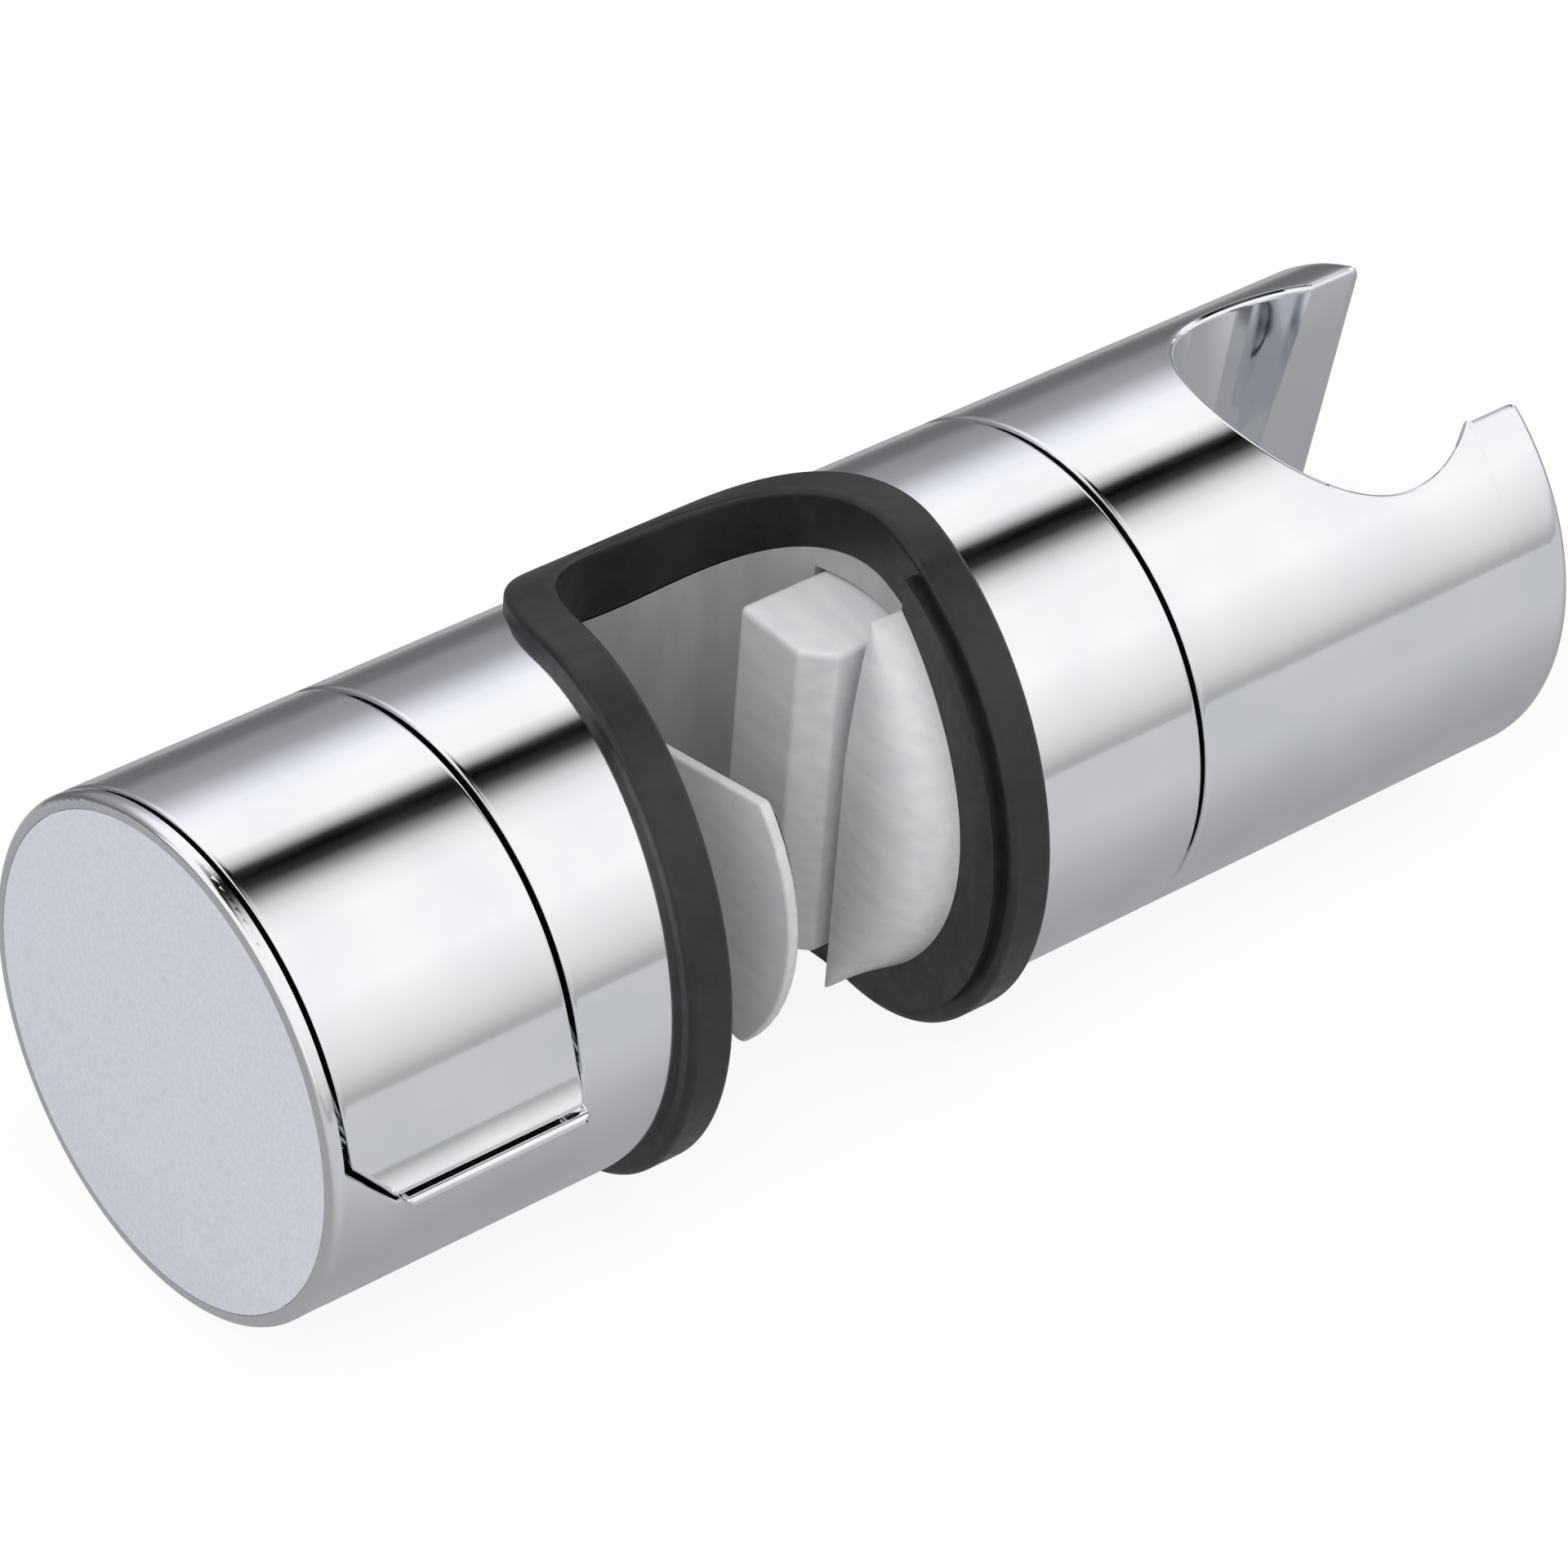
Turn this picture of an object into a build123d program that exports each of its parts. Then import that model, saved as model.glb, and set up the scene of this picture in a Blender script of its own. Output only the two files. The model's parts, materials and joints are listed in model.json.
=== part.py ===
from build123d import *
import os
from math import cos, radians, sin, sqrt

# A slider for a shower riser rail, in millimetres. X is the axis of the round body, with the
# lever at its low end and the handset cup at its high end. Z is the axis of the rail and of the
# cup, up. The rail comes in from low Y. The origin lies on the rail axis, at mid height.

# Round body and the wall behind the rail mouth
mouth_half = 12.8
mouth_back = 7.2
shell_wall = 3.4
seam_gap = 0.5
fit_gap = 0.1
slide_gap = 0.3
pin_clearance = 0.05

# Places along X
cap_face_x = -50.3
cap_thickness = 1.0
lever_end_x = -29.4
core_low_x = -18.5
core_high_x = 18.5
shell_high_x = 29.5
cradle_high_x = 68.1
cup_x = 55.5

# Rail, and the mouth with its black edging
rail_d = 18.0
rail_clearance = 0.3
mouth_turn = 9.0
edging_wall = 1.3
edging_flange = 3.8
edging_proud = 1.4
edging_round = 0.55
tongue = 0.8
tongue_r = 13.5

# Lever, its lip and its hinge
lever_wall = 2.4
lip_z = -0.7
lip_reach = 1.9
lip_edge = 1.3
lip_height = 4.2
lip_corner = 1.5
hinge_z = -2.4
hinge_pin_r = 1.0
knuckle_r = 2.6
ear_length = 4.5
lever_range = 30.0

# Wedge under the lever and the carriage that it drives
wedge_y = -8.0
wedge_width = 4.0
wedge_top_x = -31.2
wedge_low_z = 4.0
wedge_length = 9.5
fin_margin = 2.3
carriage_low_x = -28.4
carriage_length = 4.0

# Moving jaw
jaw_back_x = -7.0
jaw_plate = 1.0
jaw_margin = 5.5
jaw_slope = 2.7
jaw_edge = 0.3
jaw_high_y = 3.5
jaw_stem_half_z = 6.0
facing = 0.6
facing_groove = 0.6
facing_grooves = 5
jaw_screw_r = 1.5
guide_pin_r = 1.5
guide_pin_margin = 2.9
guide_pin_low_x = -36.0
guide_pin_seat = 3.0
return_coils = 4
return_wire = 0.8
return_coil_r = 2.5

# Fixed cheek beside the mouth
cheek_x = 6.2
cheek_y = -5.4
cheek_post_r = 6.5
cheek_post_y = -6.6
cheek_proud = 1.1
cheek_fall = 4.0
cheek_slant_z = 3.0
cheek_slant = 1.6

# Sprung pad
pad_face_x = 4.4
pad_low_y = -4.3
pad_high_y = 4.5
pad_margin = 2.0
pad_bevel = 2.1
pad_flange_x = 14.6
pad_flange = 2.0
pad_flange_rise = 1.3
pad_travel = 8.0
pad_spring_seat_x = 9.0
pad_spring_r = 3.2
pad_spring_wire = 1.0
pad_coils = 8

# Swivel
journal_r = 7.0
journal_length = 7.6
friction_width = 2.8
friction_depth = 1.0
pivot_screw_r = 2.5
pivot_head_r = 4.6
pivot_head = 3.0
pivot_seat_x = 39.0
washer_r = 5.0
washer = 0.8
wave_height = 1.2
wave_washer_thickness = 0.4
swivel_range = 60.0
stop_pin_r = 0.9
stop_pin_web = 1.2
stop_pin_margin = 1.5
stop_pin_seat = 3.0
stop_pin_height = 1.4

# Cradle with the handset cup
cradle_turn = 8.0
cup_top_r = 11.4
cup_taper = 0.045
slot_lip = 0.8
cup_relief_r = 0.5
end_round = 1.2

# Small screws
screw_r = 1.5
screw_head_r = 2.8
screw_head = 1.6
screw_sink = 0.6
screw_bite = 4.0
screw_web = 0.6
socket_share = 0.5
socket_depth = 0.6
hub_screw_y = 10.6
core_screw_x = 16.2
core_screw_z = 5.0
cap_disc_rim = 1.1
cap_round = 0.7
cap_skirt = 6.4
cap_skirt_wall = 2.4

body_r = mouth_half + mouth_back
bore_r = body_r - shell_wall
core_r = bore_r - fit_gap
cap_seam_x = cap_face_x + cap_thickness
lever_x = cap_seam_x + seam_gap
band_x = lever_end_x + seam_gap
cradle_x = shell_high_x + seam_gap
hinge_y = body_r - knuckle_r - fit_gap
lever_r = body_r - lever_wall
jaw_half_height = core_r - jaw_margin
jaw_back_half_height = jaw_half_height - jaw_slope
guide_pin_place = (core_r - guide_pin_margin) / sqrt(2)
fin_high_z = core_r - fin_margin
cheek_r = core_r + cheek_proud
pad_half_height = sqrt(core_r ** 2 - pad_high_y ** 2) - pad_margin
stop_pin_place = core_r - stop_pin_margin
friction_outer_r = stop_pin_place - stop_pin_r - stop_pin_web - fit_gap
friction_inner_r = friction_outer_r - friction_width
cup_low_r = cup_top_r - cup_taper * 2 * body_r
hose_slot_half = cup_low_r - slot_lip
jaw_face_x = jaw_back_x + jaw_plate + facing
jaw_travel = rail_d + rail_clearance - (cheek_x - jaw_face_x)
wedge_lift = (hinge_y - wedge_y) * sin(radians(lever_range))
wedge_lift -= (lever_r - hinge_z) * (1 - cos(radians(lever_range)))
wedge_slope = jaw_travel / wedge_lift
stem_x = carriage_low_x + carriage_length
cap_screw_x = cap_seam_x + screw_head_r + fit_gap + screw_web
hub_screw_seat_x = shell_high_x - friction_depth - screw_head
tall = 3 * body_r
low = (Align.CENTER, Align.CENTER, Align.MIN)


def x_rod(radius, x_from, x_to, y=0.0, z=0.0):
    """A round rod along X."""
    return Pos(x_from, y, z) * Rot(0, 90, 0) * Cylinder(radius, x_to - x_from, align=low)


def x_tube(outer, inner, x_from, x_to, y=0.0, z=0.0):
    """A round tube along X."""
    return x_rod(outer, x_from, x_to, y, z) - x_rod(inner, x_from - 1, x_to + 1, y, z)


def block(x_from, x_to, y_from, y_to, z_from, z_to):
    """A box between two corners."""
    middle = Pos((x_from + x_to) / 2, (y_from + y_to) / 2, (z_from + z_to) / 2)
    return middle * Box(x_to - x_from, y_to - y_from, z_to - z_from)


def side_prism(points, y_from, y_to, grow=0.0):
    """A prism along Y over an outline given as X, Z, grown by a gap all round."""
    outline = make_face(Polyline(*[(x, 0, z) for x, z in points], close=True))
    if grow:
        outline = make_face(offset(outline, grow, kind=Kind.INTERSECTION).edges())
    return Pos(0, y_from, 0) * extrude(outline, y_to - y_from, dir=(0, 1, 0))


def section_prism(points, x_from, x_to):
    """A prism along X over an outline given as Y, Z."""
    outline = make_face(Polyline(*[(0, y, z) for y, z in points], close=True))
    return Pos(x_from, 0, 0) * extrude(outline, x_to - x_from, dir=(1, 0, 0))


def mouth_prism(half):
    """The U of the rail mouth at a given half width: round at the back, open to the front."""
    reach = 2 * body_r
    seat = Cylinder(half, tall)
    way_in = block(-half, half, -reach, 0, -tall / 2, tall / 2)
    return Rot(0, 0, -mouth_turn) * (seat + way_in)


def x_cone(radius_from, radius_to, x_from, x_to):
    """A round cone along X."""
    return Pos(x_from, 0, 0) * Rot(0, 90, 0) * Cone(radius_from, radius_to, x_to - x_from, align=low)


def screw(length, shank_r, head_r, head):
    """A socket screw along Z: the shank below zero, the round head above it."""
    body = Cylinder(head_r, head, align=low)
    body += Pos(0, 0, -length) * Cylinder(shank_r, length, align=low)
    depth = head * socket_depth
    return body - Pos(0, 0, head - depth) * extrude(RegularPolygon(head_r * socket_share, 6), depth)


def wall_screw_seat(offset_from_axis):
    """How far out a sunk screw's head sits on the body, beside the axis by a given offset."""
    return sqrt(body_r ** 2 - offset_from_axis ** 2) - screw_sink - screw_head


def wall_screw(offset_from_axis):
    """A screw through the body's wall, along Z, with its head sunk."""
    seat = wall_screw_seat(offset_from_axis)
    return Pos(0, 0, seat) * screw(seat - core_r + screw_bite, screw_r, screw_head_r, screw_head)


def wall_screw_room(offset_from_axis):
    """The counterbore and the clear hole for that screw."""
    head_room = Pos(0, 0, wall_screw_seat(offset_from_axis)) * Cylinder(screw_head_r + fit_gap, tall, align=low)
    return head_room + Cylinder(screw_r + fit_gap, tall, align=low)


def coil_spring(x_from, x_to, coil_r, wire, coils, y=0.0, z=0.0):
    """A round wire wound along X between two seats."""
    length = x_to - x_from - wire
    path = Helix(length / coils, length, coil_r)
    ring = Plane(origin=path @ 0, z_dir=path % 0) * Circle(wire / 2)
    return Pos(x_from + wire / 2, y, z) * Rot(0, 90, 0) * sweep(ring, path, is_frenet=True)


def lever_outline():
    """The lever as seen from the front, in X and Z, with its lower outer corner cut away."""
    top = body_r + lip_reach + 2
    return [
        (lever_x, top),
        (lever_x, lip_z + lip_height),
        (lever_x + lip_height, lip_z),
        (lever_end_x, lip_z),
        (lever_end_x, top),
    ]


def lever_window():
    """What the body leaves free for the lever: its outline in front, and to the hinge behind."""
    front = side_prism(lever_outline(), -2 * body_r, 0, seam_gap)
    back = block(cap_seam_x, band_x, -1, 2 * body_r, hinge_z, tall)
    return front + back + block(cap_seam_x, band_x, -2 * body_r, 1, body_r / 2, tall)


def guide_places():
    """Where the two guide pins stand, in Y and Z."""
    return [(guide_pin_place, -guide_pin_place), (-guide_pin_place, -guide_pin_place / 2)]


def hub_screw_places():
    """Where the two hub screws stand, in Y and Z."""
    return [(hub_screw_y, 0.0), (-hub_screw_y, 0.0)]


def core_screw_frames():
    """Where the two core screws stand, pointing out at the back."""
    return [Pos(x, 0, core_screw_z) * Rot(-90, 0, 0) for x in (-core_screw_x, core_screw_x)]


def cap_screw_frame():
    """Where the cap's screw stands, pointing down."""
    return Pos(cap_screw_x, 0, 0) * Rot(180, 0, 0)


def body_shell():
    """The plated tube, cut for the rail mouth, with the lower half of a tube under the lever."""
    shell = x_tube(body_r, bore_r, cap_seam_x, shell_high_x)
    shell -= lever_window()
    shell -= mouth_prism(mouth_half + edging_wall)
    knuckle_room = knuckle_r + slide_gap
    barrel_from = lever_x + ear_length
    barrel_to = lever_end_x - ear_length
    shell -= x_rod(knuckle_room, barrel_from - slide_gap, barrel_to + slide_gap, hinge_y, hinge_z)
    shell += x_rod(knuckle_r, lever_x, barrel_from - slide_gap, hinge_y, hinge_z)
    shell += x_rod(knuckle_r, barrel_to + slide_gap, lever_end_x, hinge_y, hinge_z)
    shell -= x_rod(hinge_pin_r + fit_gap / 2, lever_x - 1, lever_end_x + 1, hinge_y, hinge_z)
    for frame in core_screw_frames():
        shell -= frame * wall_screw_room(core_screw_z)
    return shell - cap_screw_frame() * wall_screw_room(0)


def end_cap():
    """The plated cap: a rimmed disc and a half-round skirt that fits the body."""
    cap = x_rod(body_r, cap_face_x, cap_seam_x)
    cap = fillet(cap.edges().sort_by(Axis.X)[0], cap_round)
    cap -= x_rod(body_r - cap_disc_rim, cap_face_x - 1, cap_face_x + cap_thickness / 2)
    skirt = x_tube(core_r, core_r - cap_skirt_wall, cap_seam_x, cap_seam_x + cap_skirt)
    skirt &= block(cap_seam_x, 0, -tall, tall, -tall, hinge_z - knuckle_r)
    return cap + skirt - cap_screw_frame() * wall_screw(0)


def cap_disc():
    """The satin disc let into the cap."""
    return x_rod(body_r - cap_disc_rim - fit_gap / 2, cap_face_x, cap_face_x + cap_thickness / 2)


def cap_screw():
    """The screw that holds the cap, from below."""
    return cap_screw_frame() * wall_screw(0)


def lip():
    """The finger lip: the lever's lower front edge turned outwards."""
    high_z = lip_z + lip_height
    points = [
        (-sqrt(body_r ** 2 - high_z ** 2), high_z),
        (-body_r - lip_reach, lip_z + lip_edge),
        (-body_r - lip_reach, lip_z),
        (-lever_r, lip_z),
        (-lever_r, high_z),
    ]
    ledge = section_prism(points, lever_x, lever_end_x)
    upright = ledge.edges().filter_by(Axis.Z).filter_by_position(Axis.Y, -tall, -body_r)
    return fillet(upright.sort_by(Axis.X)[-1], lip_corner)


def flank_x(z):
    """The place along X of the wedge's sloping flank at a given height."""
    return wedge_top_x - wedge_slope * (lever_r - z)


def wedge(gap):
    """The rib under the lever, with one flank that slopes along X."""
    points = [
        (wedge_top_x - gap, lever_r),
        (flank_x(wedge_low_z) - gap, wedge_low_z),
        (flank_x(wedge_low_z) - gap - wedge_width / 2, wedge_low_z),
        (wedge_top_x - gap - wedge_length, lever_r),
    ]
    rib = side_prism(points, wedge_y - wedge_width / 2, wedge_y + wedge_width / 2)
    return rib & x_rod(lever_r + lever_wall / 2, lever_x, lever_end_x)


def lever():
    """The curved plated lever with its lip, its hinge barrel and the wedge that it carries."""
    panel = x_tube(body_r, lever_r, lever_x, lever_end_x)
    front = side_prism(lever_outline(), -2 * body_r, 0)
    back = block(lever_x, lever_end_x, 0, 2 * body_r, hinge_z, tall)
    panel = panel & (front + back)
    panel += lip() & side_prism(lever_outline(), -2 * body_r, 0)
    barrel_from = lever_x + ear_length
    barrel_to = lever_end_x - ear_length
    ear_room = knuckle_r + slide_gap
    panel -= x_rod(ear_room, lever_x - 1, barrel_from, hinge_y, hinge_z)
    panel -= x_rod(ear_room, barrel_to, lever_end_x + 1, hinge_y, hinge_z)
    panel += x_rod(knuckle_r, barrel_from, barrel_to, hinge_y, hinge_z)
    panel += wedge(slide_gap)
    return panel - x_rod(hinge_pin_r + pin_clearance, lever_x - 1, lever_end_x + 1, hinge_y, hinge_z)


def lever_pin():
    """The hinge pin of the lever."""
    return x_rod(hinge_pin_r, lever_x + fit_gap, lever_end_x - fit_gap, hinge_y, hinge_z)


def rail_edging():
    """The black edging: a sleeve that lines the cut and a flange that lies on the body."""
    outer = x_rod(body_r + edging_proud, -2 * body_r, 2 * body_r)
    ring = mouth_prism(mouth_half + edging_flange) - mouth_prism(mouth_half)
    sleeve = mouth_prism(mouth_half + edging_wall) - mouth_prism(mouth_half)
    span = x_rod(body_r, -2 * body_r, 2 * body_r)
    edging = (outer & ring) - span
    edging += (outer & sleeve) - x_rod(bore_r, -2 * body_r, 2 * body_r)
    skin = body_r + edging_proud
    rim = [e for e in edging.edges() if abs(sqrt((e @ 0.3).Y ** 2 + (e @ 0.3).Z ** 2) - skin) < 0.01]
    edging = fillet(rim, edging_round)
    lining = mouth_prism(mouth_half) - mouth_prism(mouth_half - tongue)
    lining &= x_tube(body_r, tongue_r, 0, body_r) & block(0, body_r, -body_r, cheek_y, -body_r, body_r)
    return edging + (lining - fixed_cheek())


def pad_room(x_from, x_to, rise):
    """The room for the pad, grown by the sliding gap."""
    half = pad_half_height + rise + slide_gap
    return block(x_from, x_to, pad_low_y - slide_gap, pad_high_y + slide_gap, -half, half)


def clamp_core():
    """The grey block in the tube: the round rail seat, and slides for the jaw and the pad."""
    core = x_rod(core_r, core_low_x, core_high_x)
    core -= mouth_prism(mouth_half)
    jaw_low_x = jaw_back_x - jaw_travel - slide_gap
    core -= block(jaw_low_x, 0, -body_r, jaw_high_y + slide_gap, -jaw_half_height - slide_gap,
                  jaw_half_height + slide_gap)
    stem_z = jaw_stem_half_z + slide_gap
    stem_y = jaw_high_y + slide_gap
    core -= block(core_low_x - 1, 0, -stem_y, stem_y, -stem_z, stem_z)
    core -= pad_room(0, pad_flange_x, 0)
    core -= pad_room(pad_flange_x, core_high_x + 1, pad_flange_rise)
    for y, z in guide_places():
        core -= x_rod(guide_pin_r, core_low_x - 1, core_low_x + guide_pin_seat, y, z)
    for y, z in hub_screw_places():
        core -= x_rod(screw_r, core_high_x - screw_bite, core_high_x + 1, y, z)
    for frame in core_screw_frames():
        core -= frame * wall_screw(core_screw_z)
    return core


def core_screws():
    """Two screws from behind that hold the core in the body."""
    return [frame * wall_screw(core_screw_z) for frame in core_screw_frames()]


def fixed_cheek():
    """The cheek on the cup side of the mouth: a round-nosed post which leads the rail in."""
    cheek = Pos(cheek_x + cheek_post_r, cheek_post_y, 0) * Cylinder(cheek_post_r, tall)
    cheek &= block(0, 2 * body_r, -2 * body_r, cheek_y, -tall / 2, tall / 2)
    cheek &= x_cone(cheek_r, cheek_r - cheek_fall, cheek_x, cheek_x + cheek_post_r)
    corner = [
        (0, cheek_slant_z),
        (cheek_x, cheek_slant_z),
        (cheek_x + cheek_slant, cheek_r),
        (0, cheek_r),
    ]
    cheek -= side_prism(corner, -2 * body_r, 0)
    return cheek & mouth_prism(mouth_half)


def pressure_pad():
    """The sprung pad: a tall nose with a bevelled front corner, a flange and a spring bore."""
    nose = block(pad_face_x, pad_flange_x + pad_flange, pad_low_y, pad_high_y, -pad_half_height,
                 pad_half_height)
    corner = nose.edges().filter_by(Axis.Z).sort_by(Axis.Y)[:2].sort_by(Axis.X)[0]
    nose = chamfer(corner, pad_bevel)
    half = pad_half_height + pad_flange_rise
    flange_x = pad_flange_x + slide_gap
    nose += block(flange_x, flange_x + pad_flange, pad_low_y, pad_high_y, -half, half)
    return nose - x_rod(pad_spring_r + pad_spring_wire, pad_spring_seat_x, core_high_x)


def pad_spring():
    """The spring behind the pad."""
    seat = core_high_x + pad_travel + pad_spring_wire
    return coil_spring(pad_spring_seat_x, seat, pad_spring_r, pad_spring_wire, pad_coils)


def jaw_outline(margin):
    """The jaw's outline in Y and Z, which grows taller to the front."""
    front = jaw_half_height - margin
    back = jaw_back_half_height - margin
    y = jaw_high_y - margin
    return [(-body_r, front), (y, back), (y, -back), (-body_r, -front)]


def clamp_jaw():
    """The moving jaw: a plate whose bevelled front edge follows the body, on a square stem."""
    face_x = jaw_back_x + jaw_plate
    edge_r = core_r - slide_gap
    plate = x_rod(edge_r, jaw_back_x, jaw_back_x + jaw_edge)
    plate += x_cone(edge_r, edge_r - jaw_plate + jaw_edge, jaw_back_x + jaw_edge, face_x)
    plate &= section_prism(jaw_outline(0), jaw_back_x, face_x)
    stem = block(stem_x, jaw_back_x, -jaw_high_y, jaw_high_y, -jaw_stem_half_z, jaw_stem_half_z)
    return plate + stem - x_rod(jaw_screw_r, stem_x - 1, stem_x + 2 * screw_bite)


def jaw_facing():
    """The grooved rubber facing on the jaw."""
    x = jaw_back_x + jaw_plate
    pad = x_rod(core_r - slide_gap - jaw_plate, x, jaw_face_x)
    pad &= section_prism(jaw_outline(facing), x, jaw_face_x)
    pitch = 2 * (jaw_back_half_height - facing) / (facing_grooves + 1)
    for i in range(facing_grooves):
        z = (i - (facing_grooves - 1) / 2) * pitch
        pad -= block(x + facing / 2, 0, -body_r, body_r, z - facing_groove / 2, z + facing_groove / 2)
    return pad


def jaw_carriage():
    """The round carriage in the tube, with a fin that meets the lever's wedge."""
    puck = x_rod(core_r - slide_gap, carriage_low_x, stem_x)
    root_x = carriage_low_x + 1
    points = [
        (root_x, fin_high_z),
        (flank_x(fin_high_z), fin_high_z),
        (flank_x(wedge_low_z), wedge_low_z),
        (flank_x(wedge_low_z), wedge_low_z - wedge_width / 2),
        (root_x, wedge_low_z - wedge_width),
    ]
    fin = side_prism(points, wedge_y - wedge_width / 2, wedge_y + wedge_width / 2)
    carriage = puck + (fin & x_rod(core_r - slide_gap, lever_x, 0))
    carriage -= x_rod(knuckle_r + slide_gap, lever_x, stem_x + 1, hinge_y, hinge_z)
    carriage -= x_rod(jaw_screw_r + fit_gap, carriage_low_x - 1, stem_x + 1)
    for y, z in guide_places():
        carriage -= x_rod(guide_pin_r + pin_clearance, carriage_low_x - 1, stem_x + 1, y, z)
    return carriage


def jaw_screw():
    """The screw that joins the jaw's stem to the carriage."""
    frame = Pos(carriage_low_x, 0, 0) * Rot(0, -90, 0)
    return frame * screw(carriage_length + screw_bite, jaw_screw_r, screw_head_r, screw_head)


def guide_pins():
    """The two pins that the carriage runs on."""
    return [x_rod(guide_pin_r, guide_pin_low_x, core_low_x + guide_pin_seat, y, z)
            for y, z in guide_places()]


def return_springs():
    """The two springs that push the carriage back when the lever lifts."""
    return [coil_spring(stem_x, core_low_x, return_coil_r, return_wire, return_coils, y, z)
            for y, z in guide_places()]


def swivel_hub():
    """The hub that closes the body and carries the cradle on its journal."""
    hub = x_rod(core_r, core_high_x, shell_high_x)
    hub += x_rod(journal_r, shell_high_x, cradle_x + journal_length)
    flange_end = core_high_x + pad_travel - pad_flange / 2
    hub -= pad_room(core_high_x - 1, flange_end, pad_flange_rise)
    hub -= x_rod(pad_spring_r + pad_spring_wire, core_high_x, core_high_x + pad_travel + pad_spring_wire)
    hub -= x_tube(friction_outer_r + fit_gap, friction_inner_r - fit_gap,
                  shell_high_x - friction_depth, shell_high_x + 1)
    hub -= x_rod(pivot_screw_r, core_high_x + pad_travel, cradle_x + journal_length + 1)
    for y, z in hub_screw_places():
        hub -= x_rod(screw_r + fit_gap, core_high_x - 1, shell_high_x, y, z)
        hub -= x_rod(screw_head_r + fit_gap, hub_screw_seat_x, shell_high_x + 1, y, z)
    return hub - stop_pin()


def hub_screws():
    """The two screws that hold the hub to the core."""
    length = hub_screw_seat_x - core_high_x + screw_bite
    return [Pos(hub_screw_seat_x, y, z) * Rot(0, 90, 0) * screw(length, screw_r, screw_head_r, screw_head)
            for y, z in hub_screw_places()]


def stop_pin():
    """The pin in the hub that ends the cradle's turn."""
    return x_rod(stop_pin_r, shell_high_x - stop_pin_seat, cradle_x + stop_pin_height, 0, -stop_pin_place)


def stop_groove():
    """The groove in the cradle that the stop pin runs in, over the cradle's whole range."""
    room = stop_pin_r + slide_gap
    end_x = cradle_x + stop_pin_height + slide_gap
    away = 2 * body_r
    side_y = away * sin(radians(swivel_range))
    side_z = -away * cos(radians(swivel_range))
    groove = x_tube(stop_pin_place + room, stop_pin_place - room, cradle_x - 1, end_x)
    groove &= section_prism([(0, 0), (-side_y, side_z), (side_y, side_z)], cradle_x - 1, end_x)
    for side in (-swivel_range, swivel_range):
        turn = Rot(side, 0, 0)
        groove += turn * x_rod(stop_pin_r + pin_clearance, cradle_x - 1, end_x, 0, -stop_pin_place)
    return groove


def friction_ring():
    """The soft ring that the cradle turns against."""
    return x_tube(friction_outer_r, friction_inner_r, shell_high_x - friction_depth, cradle_x)


def cup_bore():
    """The tapered seat for the handset, wider at the top."""
    high = body_r + 1
    top_r = cup_top_r + cup_taper
    low_r = cup_top_r - cup_taper * (2 * body_r + 1)
    return Pos(cup_x, 0, 0) * Cone(low_r, top_r, 2 * high)


def cradle():
    """The plated end that turns: the tapered cup, and the slot that lets the hose in."""
    body = x_rod(body_r, cradle_x, cradle_high_x)
    body = fillet(body.edges().sort_by(Axis.X)[-1], end_round)
    body -= cup_bore()
    body -= block(cup_x, cradle_high_x + 1, -hose_slot_half, hose_slot_half, -tall / 2, tall / 2)
    corner_x = cup_x + sqrt((cup_top_r - cup_taper * body_r) ** 2 - hose_slot_half ** 2)
    for y in (-hose_slot_half, hose_slot_half):
        body -= Pos(corner_x, y, 0) * Cylinder(cup_relief_r, tall)
    body -= x_rod(journal_r + pin_clearance, cradle_x - 1, cradle_x + journal_length + slide_gap)
    body -= x_rod(pivot_screw_r + slide_gap, cradle_x, cup_x)
    body -= x_rod(washer_r + slide_gap, pivot_seat_x, cup_x)
    return Rot(cradle_turn, 0, 0) * (body - stop_groove())


def thrust_washer():
    """The flat washer that the cradle turns against, under the sprung washer."""
    return x_tube(washer_r, pivot_screw_r + slide_gap, pivot_seat_x, pivot_seat_x + washer)


def wave_washer():
    """The sprung washer under the screw's head, as a shallow cone of sheet."""
    x_from = pivot_seat_x + washer
    inner = pivot_screw_r + slide_gap
    points = [
        (washer_r - wave_washer_thickness, x_from),
        (washer_r, x_from),
        (inner + wave_washer_thickness, x_from + wave_height),
        (inner, x_from + wave_height),
    ]
    outline = make_face(Polyline(*[(r, 0, x) for r, x in points], close=True))
    return Rot(0, 90, 0) * revolve(outline, Axis.Z)


def pivot_screw():
    """The screw that holds the cradle on the hub's journal."""
    head_x = pivot_seat_x + washer + wave_height
    length = head_x - core_high_x - pad_travel - 2 * pad_spring_wire
    return Pos(head_x, 0, 0) * Rot(0, 90, 0) * screw(length, pivot_screw_r, pivot_head_r, pivot_head)


pieces = {
    "body_shell": body_shell,
    "end_cap": end_cap,
    "cap_disc": cap_disc,
    "cap_screw": cap_screw,
    "lever": lever,
    "lever_pin": lever_pin,
    "rail_edging": rail_edging,
    "clamp_core": clamp_core,
    "core_screws": core_screws,
    "fixed_cheek": fixed_cheek,
    "pressure_pad": pressure_pad,
    "pad_spring": pad_spring,
    "clamp_jaw": clamp_jaw,
    "jaw_facing": jaw_facing,
    "jaw_carriage": jaw_carriage,
    "jaw_screw": jaw_screw,
    "guide_pins": guide_pins,
    "return_springs": return_springs,
    "swivel_hub": swivel_hub,
    "hub_screws": hub_screws,
    "stop_pin": stop_pin,
    "friction_ring": friction_ring,
    "cradle": cradle,
    "thrust_washer": thrust_washer,
    "wave_washer": wave_washer,
    "pivot_screw": pivot_screw,
}

os.makedirs("parts", exist_ok=True)
for name, make in pieces.items():
    shape = make()
    if isinstance(shape, list):
        shape = Compound(children=shape)
    export_step(shape, f"parts/{name}.step")
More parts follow.
